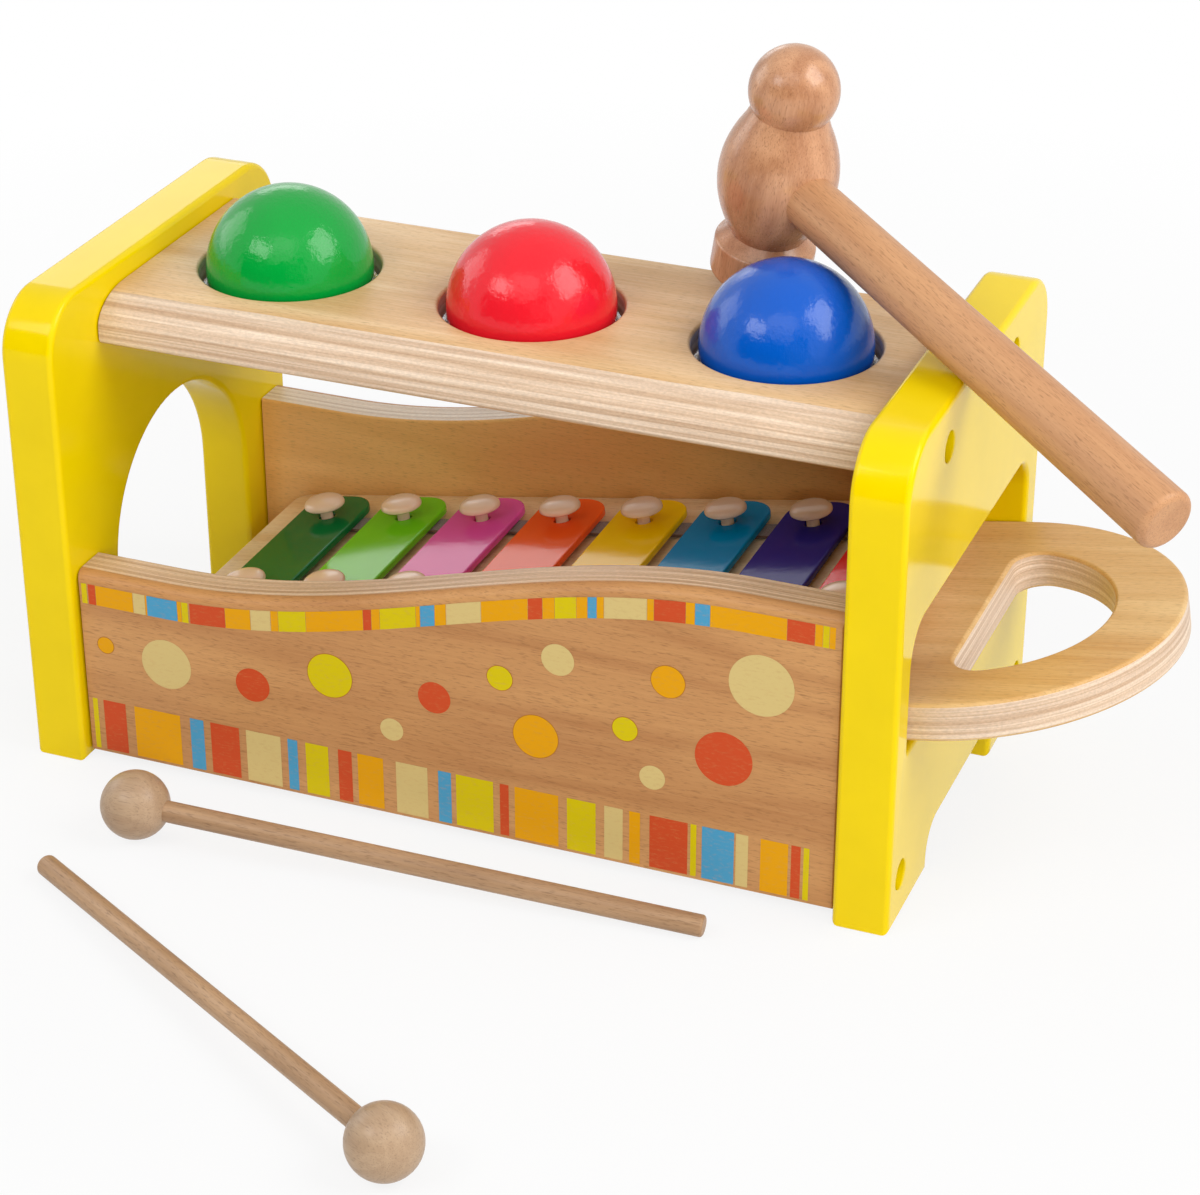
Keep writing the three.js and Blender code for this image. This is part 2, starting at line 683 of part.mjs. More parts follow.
// Where the hammer's axes cross for a given slope of the handle, with the face's rim on the board
// and the handle passing the blue ball, and how far the handle then is from the right panel's edge.
function hammerRest(slope) {
  const height = boardTop + seatGap + hammerFaceReach * Math.cos(slope) + hammerFaceRadius * Math.sin(slope);
  const rise = height - hammerHeadSetback * Math.sin(slope) - ballHeight;
  const reach = ballRadius + hammerHandleEndRadius + hammerBallGap;
  const aside = Math.sqrt(reach ** 2 - Math.min(rise, reach) ** 2);
  const x = ballSpacing + aside * Math.sin(hammerYaw) - hammerHeadSetback * Math.cos(hammerYaw);
  const y = aside * Math.cos(hammerYaw) + hammerHeadSetback * Math.sin(hammerYaw);
  const run = (halfLength - x) / Math.cos(hammerYaw);
  const along = run * Math.cos(slope) + (height - benchHeight) * Math.sin(slope);
  const taper = (hammerHandleEndRadius - hammerHandleRadius) / (hammerHandleLength - hammerBarrelRadius);
  const radius = hammerHandleRadius + taper * (along - hammerBarrelRadius);
  const gap = (height - benchHeight) * Math.cos(slope) - run * Math.sin(slope) - radius - seatGap;
  return { position: new THREE.Vector3(x, y, height), gap };
}

function hammer() {
  const halvings = 40;
  let low = 0;
  let high = Math.PI / 4;
  for (let i = 0; i < halvings; i += 1) {
    const slope = (low + high) / 2;
    if (hammerRest(slope).gap > 0) {
      low = slope;
    } else {
      high = slope;
    }
  }
  const group = new THREE.Group();
  group.add(hammerHead(), hammerHandle());
  group.rotation.set(0, low, -hammerYaw, 'ZYX');
  group.position.copy(hammerRest(low).position);
  return group;
}

// Mallets: the ball and the stick's far end lie on the floor

function mallet({ name, along, ahead, heading }) {
  const blank = solidOf(sphere(malletBallRadius, malletFacets));
  const bottom = malletStickInset - seatGap;
  const socket = rod(malletStickRadius + seatGap, bottom, 2 * malletBallRadius, stickFacets);
  const end = malletStickLength;
  const profile = [
    [0, malletStickInset], [malletStickRadius, malletStickInset], [malletStickRadius, end - malletStickRound],
    [malletStickRadius - malletStickRound, end], [0, end],
  ];
  const group = new THREE.Group();
  group.add(
    part(`${name}_ball`, blank.subtract(solidOf(socket, alongX(1, 0, 0, 0))), materialOf('maple')),
    part(`${name}_stick`, solidOf(turned(profile, stickFacets), alongX(1, 0, 0, 0)), materialOf('maple')),
  );
  const dip = Math.asin((malletBallRadius - malletStickRadius) / malletStickLength);
  group.rotation.set(0, dip, THREE.MathUtils.degToRad(heading), 'ZYX');
  group.position.set(along, -halfDepth - ahead, malletBallRadius);
  return group;
}

// Assembly

const toy = new THREE.Group();
toy.add(sidePanel('left_side_panel', leftProfile(), -1));
toy.add(sidePanel('right_side_panel', rightProfile(), 1));
toy.add(topBoard());
toy.add(wavePanel('front_panel', -1));
toy.add(wavePanel('rear_panel', 1));
for (const [colour, x] of Object.entries(ballPlaces)) {
  toy.add(ball(colour, x));
  toy.add(ballRing(colour, x));
}
for (const end of [-1, 1]) {
  endScrews.forEach((place) => toy.add(endScrew(end, place)));
  endDowels.forEach((place) => toy.add(dowel(end, place)));
}
toy.add(xylophone());
toy.add(hammer());
malletPlaces.forEach((place) => toy.add(mallet(place)));

// The origin is under the middle of the whole set, on the floor.
const bounds = new THREE.Box3().setFromObject(toy, true);
const middle = bounds.getCenter(new THREE.Vector3());
toy.position.set(-middle.x, -middle.y, -bounds.min.z);

export default toy;
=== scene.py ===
"""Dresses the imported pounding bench: smooth pieces, detailed materials, studio light and the camera."""

import math

import bmesh
import bpy
from mathutils import Matrix, Vector
from mathutils.geometry import tessellate_polygon


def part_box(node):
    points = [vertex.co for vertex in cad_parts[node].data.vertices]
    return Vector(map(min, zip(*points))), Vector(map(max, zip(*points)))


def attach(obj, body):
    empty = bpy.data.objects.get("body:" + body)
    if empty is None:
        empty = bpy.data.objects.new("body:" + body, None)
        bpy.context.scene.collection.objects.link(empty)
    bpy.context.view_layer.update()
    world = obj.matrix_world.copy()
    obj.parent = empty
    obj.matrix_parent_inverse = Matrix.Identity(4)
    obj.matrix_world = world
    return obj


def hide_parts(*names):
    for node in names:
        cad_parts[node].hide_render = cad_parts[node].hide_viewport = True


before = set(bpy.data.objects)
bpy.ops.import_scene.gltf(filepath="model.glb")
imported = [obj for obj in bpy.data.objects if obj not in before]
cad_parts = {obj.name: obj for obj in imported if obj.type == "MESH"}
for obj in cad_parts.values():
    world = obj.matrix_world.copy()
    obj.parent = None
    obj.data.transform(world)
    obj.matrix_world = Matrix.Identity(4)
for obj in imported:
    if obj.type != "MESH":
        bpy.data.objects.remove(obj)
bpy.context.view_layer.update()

# Sizes of the solids, in millimetres
MM = 0.001
BENCH_LENGTH = 245
BENCH_DEPTH = 128
BENCH_HEIGHT = 134
SIDE_THICKNESS = 15
SIDE_CORNER_RADIUS = 16
FOOT_LENGTH = 34
FOOT_CUT_HEIGHT = 11.5
FOOT_CUT_RADIUS = 8
ARCH_RADIUS = 37.5
ARCH_CENTRE_HEIGHT = 47
WINDOW_CORNER_RADIUS = 10
SEAT_GAP = 0.3
SLIDE_CLEARANCE = 0.4
WINDOW_HEADROOM = 1.8
TRAY_END_GAP = 13.2
BOARD_WIDTH = 80
BOARD_THICKNESS = 13
BOARD_DROP = 6
BOARD_FRONT_RUN = 15
BOARD_FRONT_EDGE = 4.5
BOARD_BACK_RADIUS = 2
BALL_DIAMETER = 45
BALL_END_MARGIN = 12.7
BALL_SINK = 0.5
BALL_HOLE_MARGIN = 2
RING_WALL = 1
RING_LIP_DEPTH = 5.3
RING_LIP_THICKNESS = 1.4
RING_FLANGE_WIDTH = 4
RING_FLANGE_THICKNESS = 1.5
WAVE_THICKNESS = 13
WAVE_RECESS = 3
WAVE_LIFT = 2.2
WAVE_LOW = 57.5
WAVE_HIGH = 86.7
WAVE_REAR_RISE = 4
WAVE_FLAT = 25.5
WAVE_EASE = 60
GROOVE_DEPTH = 6
TRAY_TILT = math.radians(9.8)
TRAY_HEIGHT = 62
SLIDE_BOARD_THICKNESS = 10.4
HANDLE_OFFSET = 2
HANDLE_RIM = 18.5
FINGER_HOLE_SETBACK = 3.6
FINGER_HOLE_RADIUS = 7
BAR_BOARD_THICKNESS = 8
BAR_BOARD_RIGHT_GAP = 15
BAR_BOARD_CORNER = 5
BAR_COUNT = 8
BAR_GAP = 4.6
BAR_LENGTH = 78
BAR_THICKNESS = 2
BAR_CORNER_RADIUS = 8.5
BAR_MARGIN_LEFT = 11.1
BAR_MARGIN_RIGHT = 0.2
FELT_THICKNESS = 0.9
FELT_WIDTH = 8
PIN_ROW_SPACING = 50
PIN_SHAFT_RADIUS = 1.8
PIN_HOLE_RADIUS = 2.3
PIN_HEAD_RADIUS = 5.9
PIN_HEAD_HEIGHT = 3.8
PIN_HEAD_RIM = 1.4
PIN_RISE = 2.2
PIN_DEPTH = 6
SCREW_SHANK_RADIUS = 1.7
SCREW_HEAD_RADIUS = 3.5
SCREW_HEAD_HEIGHT = 2.4
SCREW_LENGTH = 21
COUNTERBORE_RADIUS = 4
COUNTERBORE_DEPTH = 5
BOARD_SCREW_INSET = 10
WAVE_SCREW_HEIGHT = 13
TRAY_SCREW_LENGTH = 13
TRAY_SCREW_INSET = 28
TRAY_COUNTERBORE_DEPTH = 3.4
HAMMER_FACE_REACH = 31
HAMMER_DRUM_RADIUS = 13.5
HAMMER_FACE_ROUND = 2
HAMMER_DRUM_LENGTH = 11
HAMMER_BARREL_RADIUS = 15.8
HAMMER_BARREL_END_RADIUS = 11.5
HAMMER_BARREL_HALF = 15
HAMMER_NECK_RADIUS = 10
HAMMER_PEEN_RADIUS = 11.8
HAMMER_PEEN_REACH = 25
HAMMER_HANDLE_LENGTH = 157
HAMMER_HANDLE_INSET = 6
HAMMER_HANDLE_RADIUS = 7.2
HAMMER_HANDLE_END_RADIUS = 7.9
HAMMER_HANDLE_ROUND = 2
HAMMER_YAW = math.radians(35)
HAMMER_BALL_GAP = 1.6
HAMMER_HEAD_SETBACK = 28.5
MALLET_BALL_RADIUS = 9.3
MALLET_STICK_RADIUS = 2.9
MALLET_STICK_LENGTH = 156
MALLET_STICK_ROUND = 0.8
MALLET_STICK_START = 4
MALLETS = {"mallet_1": (-76, 27.5, 4), "mallet_2": (45.3, 132.5, 149.3)}

# Places worked out from the sizes
HALF_LENGTH = BENCH_LENGTH / 2
HALF_DEPTH = BENCH_DEPTH / 2
INNER_HALF = HALF_LENGTH - SIDE_THICKNESS
BOARD_TOP = BENCH_HEIGHT - BOARD_DROP
BOARD_BOTTOM = BOARD_TOP - BOARD_THICKNESS
BALL_RADIUS = BALL_DIAMETER / 2
BALL_HEIGHT = BOARD_TOP - BALL_SINK
HOLE_RADIUS = BALL_RADIUS + BALL_HOLE_MARGIN
BALL_SPACING = INNER_HALF - BALL_END_MARGIN - HOLE_RADIUS
BALLS = {"green": -BALL_SPACING, "red": 0, "blue": BALL_SPACING}
WAVE_OUTER = HALF_DEPTH - WAVE_RECESS
WAVE_INNER = WAVE_OUTER - WAVE_THICKNESS
WAVE_MIDDLE = (WAVE_OUTER + WAVE_INNER) / 2
BAR_BOARD_TOP = SEAT_GAP + BAR_BOARD_THICKNESS
FELT_BASE = BAR_BOARD_TOP + SEAT_GAP
BAR_BASE = FELT_BASE + FELT_THICKNESS + SEAT_GAP
BAR_TOP = BAR_BASE + BAR_THICKNESS
PIN_HEAD_BASE = BAR_TOP + PIN_RISE
PIN_TOP = PIN_HEAD_BASE + PIN_HEAD_HEIGHT
SLIDE_HALF = WAVE_INNER + GROOVE_DEPTH - SLIDE_CLEARANCE
TRAY_LEFT = -(BENCH_LENGTH - SIDE_THICKNESS - TRAY_END_GAP) / math.cos(TRAY_TILT)
BAR_BOARD_RIGHT = -BAR_BOARD_RIGHT_GAP
BARS_LENGTH = BAR_BOARD_RIGHT - TRAY_LEFT - BAR_MARGIN_LEFT - BAR_MARGIN_RIGHT
BAR_PITCH = (BARS_LENGTH + BAR_GAP) / BAR_COUNT
BAR_WIDTH = BAR_PITCH - BAR_GAP
FIRST_BAR = TRAY_LEFT + BAR_MARGIN_LEFT + BAR_WIDTH / 2
BAR_PLACES = [FIRST_BAR + i * BAR_PITCH for i in range(BAR_COUNT)]
PIN_ROWS = {"front": -PIN_ROW_SPACING / 2, "rear": PIN_ROW_SPACING / 2}
BOARD_SCREW_PLACE = BOARD_WIDTH / 2 - BOARD_SCREW_INSET
BOARD_MIDDLE = (BOARD_TOP + BOARD_BOTTOM) / 2
END_SCREWS = {
    "board_front": (-BOARD_SCREW_PLACE, BOARD_MIDDLE),
    "board_rear": (BOARD_SCREW_PLACE, BOARD_MIDDLE),
    "front_panel": (-WAVE_MIDDLE, WAVE_SCREW_HEIGHT),
    "rear_panel": (WAVE_MIDDLE, WAVE_SCREW_HEIGHT),
}
HEAD_SEAT = HALF_LENGTH - COUNTERBORE_DEPTH
HAMMER_FACE_RADIUS = HAMMER_DRUM_RADIUS - HAMMER_FACE_ROUND

# The bench's middle on the floor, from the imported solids
left_low, left_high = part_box("left_side_panel")
right_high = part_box("right_side_panel")[1]
bench_place = Matrix.Translation(((left_low.x + right_high.x) / 2, (left_low.y + left_high.y) / 2, 0))


def bench(x=0, y=0, z=0):
    """A frame at a point of the bench, in millimetres from its middle on the floor."""
    return bench_place @ Matrix.Translation(Vector((x, y, z)) * MM)


def shift(x=0, y=0, z=0):
    """A move, in millimetres."""
    return Matrix.Translation((x * MM, y * MM, z * MM))


tray_place = bench(HALF_LENGTH, 0, TRAY_HEIGHT) @ Matrix.Rotation(-TRAY_TILT, 4, "Y")


def tray_plane(above, x):
    """Height over a place along the bench of a plane parallel to the slide board's top."""
    return TRAY_HEIGHT + above / math.cos(TRAY_TILT) + (x - HALF_LENGTH) * math.tan(TRAY_TILT)


# Outlines, in millimetres


def arc(x, y, radius, start, end, steps=16, radius_y=None):
    """Points of an arc from one angle to another, in degrees."""
    tall = radius if radius_y is None else radius_y
    turns = [math.radians(start + (end - start) * i / steps) for i in range(steps + 1)]
    return [(x + radius * math.cos(t), y + tall * math.sin(t)) for t in turns]


def circle(x, y, radius, steps):
    return arc(x, y, radius, 0, 360, steps)[:-1]


def rounded_rectangle(left, bottom, right, top, radii):
    """Corner radii are given from the lower left, anticlockwise."""
    a, b, c, d = radii
    return (
        arc(right - b, bottom + b, b, -90, 0)
        + arc(right - c, top - c, c, 0, 90)
        + arc(left + d, top - d, d, 90, 180)
        + arc(left + a, bottom + a, a, 180, 270)
    )


def bezier(points, steps=48):
    """Points of a cubic curve through its first and last point."""
    a, b, c, d = [Vector(p) for p in points]
    places = []
    for i in range(steps + 1):
        t = i / steps
        p = a * (1 - t) ** 3 + b * 3 * t * (1 - t) ** 2 + c * 3 * t ** 2 * (1 - t) + d * t ** 3
        places.append((p.x, p.y))
    return places


# Meshes

# Edges sharper than this stay crisp, in degrees, with more leave on pieces turned with coarse curves
SHARP_ANGLE = 35
TURNED_SHARP_ANGLE = 50
# Below this radius a point lies on the axis of a turned piece
ON_AXIS = 1e-6


def linked(name, data):
    """A new object in the scene."""
    shown = bpy.data.objects.new(name, data)
    bpy.context.scene.collection.objects.link(shown)
    return shown


def stored(name, bm):
    """The mesh of what has been built."""
    mesh = bpy.data.meshes.new(name)
    bm.to_mesh(mesh)
    bm.free()
    return mesh


def finished(name, bm, sharp=SHARP_ANGLE):
    """A mesh in metres with smooth shading, apart from edges sharper than an angle."""
    bmesh.ops.recalc_face_normals(bm, faces=bm.faces)
    bmesh.ops.scale(bm, vec=(MM, MM, MM), verts=bm.verts)
    mesh = stored(name, bm)
    mesh.shade_smooth()
    mesh.set_sharp_from_angle(angle=math.radians(sharp))
    return mesh


def inset_directions(loop):
    """For each point of a loop, the step to the left that moves both its sides in by one."""
    steps = []
    for i, point in enumerate(loop):
        before = (Vector(point) - Vector(loop[i - 1])).normalized()
        after = (Vector(loop[(i + 1) % len(loop)]) - Vector(point)).normalized()
        a, b = Vector((-before.y, before.x)), Vector((-after.y, after.x))
        steps.append((a + b) / (1 + a.dot(b)))
    return steps


def full_ease(point):
    """Shares of an edge's rounding that a point of an outline takes along X and Y."""
    return 1, 1


def prism(name, loops, thickness, low_edge, high_edge, steps=4, ease=full_ease):
    """A plate from an outline and its holes, all anticlockwise, with rounded edges on its two faces."""
    levels = arc(low_edge, low_edge, low_edge, 270, 180, steps)
    levels += arc(high_edge, thickness - high_edge, high_edge, 180, 90, steps)
    bm = bmesh.new()
    caps = {0: [], len(levels) - 1: []}
    for number, loop in enumerate(loops):
        path = loop if number == 0 else loop[::-1]
        directions = inset_directions(path)
        rings = []
        for level, (inset, z) in enumerate(levels):
            ring = []
            for point, step in zip(path, directions):
                across, up = ease(point)
                x, y = point[0] + step.x * across * inset, point[1] + step.y * up * inset
                ring.append(bm.verts.new((x, y, z)))
            rings.append(ring)
            if level in caps:
                caps[level].append(ring)
        for low, high in zip(rings, rings[1:]):
            for i in range(len(path)):
                j = (i + 1) % len(path)
                bm.faces.new((low[i], low[j], high[j], high[i]))
    for rings in caps.values():
        flat = [v for ring in rings for v in ring]
        for corners in tessellate_polygon([[v.co for v in ring] for ring in rings]):
            bm.faces.new([flat[i] for i in corners])
    return finished(name, bm)


def turned(name, profile, steps=32, closed=False, sharp=SHARP_ANGLE):
    """A profile of (radius, height) pairs turned about Z. A closed one makes a ring."""
    bm = bmesh.new()
    rings = []
    for radius, height in profile:
        if radius < ON_AXIS:
            rings.append([bm.verts.new((0, 0, height))] * steps)
        else:
            rings.append([bm.verts.new((x, y, height)) for x, y in circle(0, 0, radius, steps)])
    pairs = list(zip(rings, rings[1:]))
    if closed:
        pairs.append((rings[-1], rings[0]))
    for low, high in pairs:
        for i in range(steps):
            j = (i + 1) % steps
            corners = list(dict.fromkeys((low[i], low[j], high[j], high[i])))
            if len(corners) > 2:
                bm.faces.new(corners)
    return finished(name, bm, sharp)


def block(name, low, high):
    """A plain box, used only as a cutter."""
    bm = bmesh.new()
    bmesh.ops.create_cube(bm, size=1)
    low, high = Vector(low), Vector(high)
    for v in bm.verts:
        v.co = (low + high) / 2 + v.co * (high - low)
    return finished(name, bm)


def carved(mesh, cutters):
    """The mesh with each cutter, a mesh and its place, taken out of it."""
    blank = linked("blank", mesh)
    tools = []
    for cutter, place in cutters:
        tool = linked("tool", cutter)
        tool.matrix_world = place
        tools.append(tool)
        boolean = blank.modifiers.new("cut", "BOOLEAN")
        boolean.operation = "DIFFERENCE"
        boolean.solver = "EXACT"
        boolean.object = tool
    bpy.context.view_layer.update()
    result = bpy.data.meshes.new_from_object(blank.evaluated_get(bpy.context.evaluated_depsgraph_get()))
    for item in [blank, *tools]:
        bpy.data.objects.remove(item)
    result.name = mesh.name
    result.shade_smooth()
    result.set_sharp_from_angle(angle=math.radians(SHARP_ANGLE))
    return result


def piece(name, mesh, place, body, slot, material, *nodes):
    """Shows a mesh at a place, riding on a body, in the stead of its solids."""
    shown = linked(name, mesh)
    shown.matrix_world = place
    mesh.materials.clear()
    mesh.materials.append(material)
    normals = shown.modifiers.new("normals", "WEIGHTED_NORMAL")
    normals.keep_sharp = True
    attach(shown, body)
    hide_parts(*nodes)


def dressed(node, mesh, place, body, slot, material):
    """Shows a mesh in the stead of one solid, named after it."""
    piece(f"look_{node}", mesh, place, body, slot, material, node)


# Materials

ALONG_X, ALONG_Y, ALONG_Z = range(3)
WHITE = (1, 1, 1, 1)


def rgb(red, green, blue):
    """A screen colour as the linear colour that a shader takes."""
    shares = [v / 255 for v in (red, green, blue)]
    return tuple(v / 12.92 if v <= 0.04045 else ((v + 0.055) / 1.055) ** 2.4 for v in shares) + (1,)


def dimmed(colour, share):
    return tuple(v * share for v in colour[:3]) + (1,)


class Nodes:
    """A node tree that is built one node at a time."""

    def __init__(self, tree):
        self.tree = tree

    def feed(self, socket, value):
        if isinstance(value, bpy.types.NodeSocket):
            self.tree.links.new(value, socket)
        else:
            socket.default_value = value

    def add(self, kind, inputs=None, **settings):
        """Adds a node. Each of its inputs is a value or another node's output."""
        node = self.tree.nodes.new(kind)
        for key, value in settings.items():
            setattr(node, key, value)
        for key, value in (inputs or {}).items():
            self.feed(node.inputs[key], value)
        return node

    def fit(self, value, from_low, from_high, to_low=0.0, to_high=1.0):
        """A value moved from one range to another."""
        node = self.add("ShaderNodeMapRange", {"Value": value, "From Min": from_low, "From Max": from_high})
        node.inputs["To Min"].default_value = to_low
        node.inputs["To Max"].default_value = to_high
        return node.outputs["Result"]

    def math(self, operation, a, b):
        return self.add("ShaderNodeMath", {0: a, 1: b}, operation=operation).outputs[0]


class Look(Nodes):
    """A material whose nodes are added one by one to its shader."""

    def __init__(self, name, **constants):
        self.material = bpy.data.materials.new(name)
        self.material.use_nodes = True
        super().__init__(self.material.node_tree)
        self.tree.nodes.clear()
        self.shader = self.add("ShaderNodeBsdfPrincipled")
        self.add("ShaderNodeOutputMaterial", {"Surface": self.shader.outputs["BSDF"]})
        for key, value in constants.items():
            self.shader.inputs[key.replace("_", " ")].default_value = value
        self.place = self.add("ShaderNodeTexCoord").outputs["Object"]

    def set(self, name, value):
        self.feed(self.shader.inputs[name], value)

    def noise(self, scale, detail=4, roughness=0.55, distortion=0):
        """Noise in the piece's own coordinates, stretched by a factor per metre along each axis."""
        place = self.add("ShaderNodeMapping", {"Vector": self.place, "Scale": scale}).outputs["Vector"]
        inputs = {"Vector": place, "Scale": 1, "Detail": detail, "Roughness": roughness}
        return self.add("ShaderNodeTexNoise", {**inputs, "Distortion": distortion}).outputs["Fac"]

    def mix(self, share, a, b, blend="MIX"):
        inputs = {0: share, 6: a, 7: b}
        return self.add("ShaderNodeMix", inputs, data_type="RGBA", blend_type=blend).outputs[2]

    def ramp(self, value, stops, interpolation="LINEAR"):
        """Colours or grey levels at places from 0 to 1."""
        node = self.add("ShaderNodeValToRGB", {"Fac": value})
        node.color_ramp.interpolation = interpolation
        elements = node.color_ramp.elements
        while len(elements) < len(stops):
            elements.new(0.5)
        for element, (position, colour) in zip(elements, stops):
            element.position = position
            element.color = colour if isinstance(colour, tuple) else (colour, colour, colour, 1)
        return node.outputs["Color"]

    def bump(self, height, distance, strength=1.0, normal=None):
        """Adds relief of a height in metres and returns the bent normal."""
        inputs = {"Strength": strength, "Distance": distance, "Height": height}
        if normal is not None:
            inputs["Normal"] = normal
        return self.add("ShaderNodeBump", inputs).outputs["Normal"]


# Marks in wood: length and width along the grain, in millimetres
FIGURE_SIZE = (130, 16)
STREAK_SIZE = (26, 0.8)
TONE_SIZE = (140, 38)
PORE_SIZE = (2.6, 0.32)
# How far they darken it, and how bright a pore is
STREAK_SHARE = 0.35
TONE_SHARE = 0.35
PORE_SHARE = 0.55
PORE_BRIGHTNESS = 0.6
# Wood's relief in metres, and its gloss
STREAK_RELIEF = 0.00003
PORE_RELIEF = 0.00002
RELIEF_STRENGTH = 0.5
WOOD_ROUGH = (0.34, 0.48)
WOOD_SHINE = 0.25
# Plywood's plies: marks in millimetres, uneven places and blends in shares of the thickness or of a ply
LAYER_SIZE = (0.75, 90)
PLY_SPECK_SIZE = (1.1, 0.5)
PLY_SPECKS = (0.84, 1.08)
PLY_TINT = (0.86, 0.80, 0.74, 1)
PLY_BLEND = 0.1
PLY_WOBBLE = 0.015
PLY_WOBBLE_SCALE = 18
# Ink: shine, and worn spots in millimetres with their share
INK_SHINE = 0.15
WEAR_SIZE = (1.8, 0.6)
WEAR_SHARE = 0.4
# Lacquer and enamel: clouds of a deeper tone, spread of the gloss, and wood under it in millimetres
CLOUD_SCALE = 45
CLOUD_TONE = 0.94
GLOSS_SCALE = 160
GLOSS_SPREAD = 0.2
UNDER_SIZE = (22, 1.6)
UNDER_STRENGTH = 0.7


def along(axis, length, width):
    """Noise scales for marks of a length and width in millimetres along an axis."""
    return tuple(1 / (MM * (length if i == axis else width)) for i in range(3))


def grain(look, axis, light, dark, figure=FIGURE_SIZE, rings=2.5, ring_share=0.4):
    """Wood colour: growth rings, fine streaks and short dark pores along an axis."""
    field = look.noise(along(axis, *figure), detail=1, roughness=0.4, distortion=0.4)
    turns = look.math("SINE", look.math("MULTIPLY", field, rings * 2 * math.pi), 0)
    streaks = look.fit(look.noise(along(axis, *STREAK_SIZE), roughness=0.6), 0.3, 0.7)
    streaked = look.math("MULTIPLY", streaks, STREAK_SHARE)
    shade = look.math("ADD", look.fit(turns, -1, 1, 0, ring_share), streaked)
    clouds = look.noise(along(axis, *TONE_SIZE), detail=2, roughness=0.5, distortion=0.8)
    shade = look.math("ADD", shade, look.fit(clouds, 0.35, 0.65, 0, TONE_SHARE))
    pores = look.noise(along(axis, *PORE_SIZE), detail=2, roughness=0.5)
    speck = look.fit(pores, 0.54, 0.72, 0, PORE_SHARE)
    colour = look.mix(speck, look.mix(shade, light, dark), dimmed(dark, PORE_BRIGHTNESS))
    return colour, streaks, pores


def wood_finish(look, streaks, pores, rough=WOOD_ROUGH):
    """Roughness and relief of lacquered wood."""
    look.set("Roughness", look.fit(streaks, 0, 1, *rough))
    normal = look.bump(streaks, STREAK_RELIEF, RELIEF_STRENGTH)
    look.set("Normal", look.bump(pores, PORE_RELIEF, RELIEF_STRENGTH, normal))


def solid_wood(name, light, dark, axis, figure, rings, ring_share, rough=WOOD_ROUGH, shine=WOOD_SHINE):
    look = Look(name, Specular_IOR_Level=shine)
    colour, streaks, pores = grain(look, axis, light, dark, figure, rings, ring_share)
    look.set("Base Color", colour)
    wood_finish(look, streaks, pores, rough)
    return look.material


def plywood(name, face, core, stack, low, high, plies, veneers, painted_light_undo_tint=None):
    """Wood with plies stacked along an axis from low to high, in millimetres. Veneers are shares of that."""
    look = Look(name, Specular_IOR_Level=WOOD_SHINE)
    outside, streaks, pores = grain(look, ALONG_X, *face)
    layers = look.fit(look.noise(along(stack, *LAYER_SIZE), detail=3, roughness=0.65), 0.32, 0.68)
    inside = look.mix(layers, *core)
    wobble = look.fit(look.noise((PLY_WOBBLE_SCALE,) * 3, detail=2), 0, 1, -PLY_WOBBLE, PLY_WOBBLE)
    place = look.add("ShaderNodeSeparateXYZ", {0: look.place}).outputs[stack]
    depth = look.math("ADD", look.fit(place, low * MM, high * MM), wobble)
    start, end = veneers[0], 1 - veneers[1]
    share = (end - start) / plies
    tints = []
    for i in range(plies):
        tone = PLY_TINT if i % 2 else WHITE
        tints += [(start + (i + PLY_BLEND) * share, tone), (start + (i + 1 - PLY_BLEND) * share, tone)]
    inside = look.mix(1.0, inside, look.ramp(depth, tints), "MULTIPLY")
    specks = look.fit(look.noise(along(ALONG_X, *PLY_SPECK_SIZE), detail=2), 0.25, 0.75, *PLY_SPECKS)
    inside = look.mix(1.0, inside, specks, "MULTIPLY")
    # A tint over the high half, which takes painted light off the rear panel's outside face
    if painted_light_undo_tint:
        tint = look.ramp(depth, [(0.0, WHITE), (0.5, painted_light_undo_tint)], "CONSTANT")
        outside = look.mix(1.0, outside, tint, "MULTIPLY")
    is_core = look.ramp(depth, [(0.0, 0.0), (start, 1.0), (end, 0.0)], "CONSTANT")
    look.set("Base Color", look.mix(is_core, outside, inside))
    wood_finish(look, streaks, pores)
    return look.material


def ink(name, colour):
    """Print that lets a little of the wood's streaks and pores through."""
    look = Look(name, Specular_IOR_Level=INK_SHINE)
    under, streaks, pores = grain(look, ALONG_X, *ALDER)
    worn = look.fit(look.noise(along(ALONG_X, *WEAR_SIZE), roughness=0.7), 0.52, 0.8, 0.0, WEAR_SHARE)
    look.set("Base Color", look.mix(worn, colour, under))
    wood_finish(look, streaks, pores)
    return look.material


def gloss(name, colour, rough, relief, shine, peel=420, grain_axis=None):
    """Lacquer, enamel or plastic with a little unevenness in colour, gloss and surface."""
    look = Look(name, Specular_IOR_Level=shine)
    cloud = look.fit(look.noise((CLOUD_SCALE,) * 3, detail=3), 0.3, 0.7)
    look.set("Base Color", look.mix(cloud, colour, dimmed(colour, CLOUD_TONE)))
    spread = rough * (1 - GLOSS_SPREAD), rough * (1 + GLOSS_SPREAD)
    look.set("Roughness", look.fit(look.noise((GLOSS_SCALE,) * 3), 0.25, 0.75, *spread))
    normal = look.bump(look.noise((peel,) * 3, detail=2), relief)
    if grain_axis is not None:
        normal = look.bump(look.noise(along(grain_axis, *UNDER_SIZE)), relief, UNDER_STRENGTH, normal)
    look.set("Normal", normal)
    return look.material


def mottled(name, scale, light, dark, rough, span=(0, 1), relief=None, detail=3, roughness=0.55, **constants):
    """Felt, metal or clear plastic with fine marks in its colour, gloss and surface."""
    look = Look(name, **constants)
    marks = look.noise(scale, detail, roughness)
    look.set("Base Color", look.mix(marks, light, dark))
    look.set("Roughness", look.fit(marks, *span, *rough))
    if relief is not None:
        look.set("Normal", look.bump(marks, relief))
    return look.material


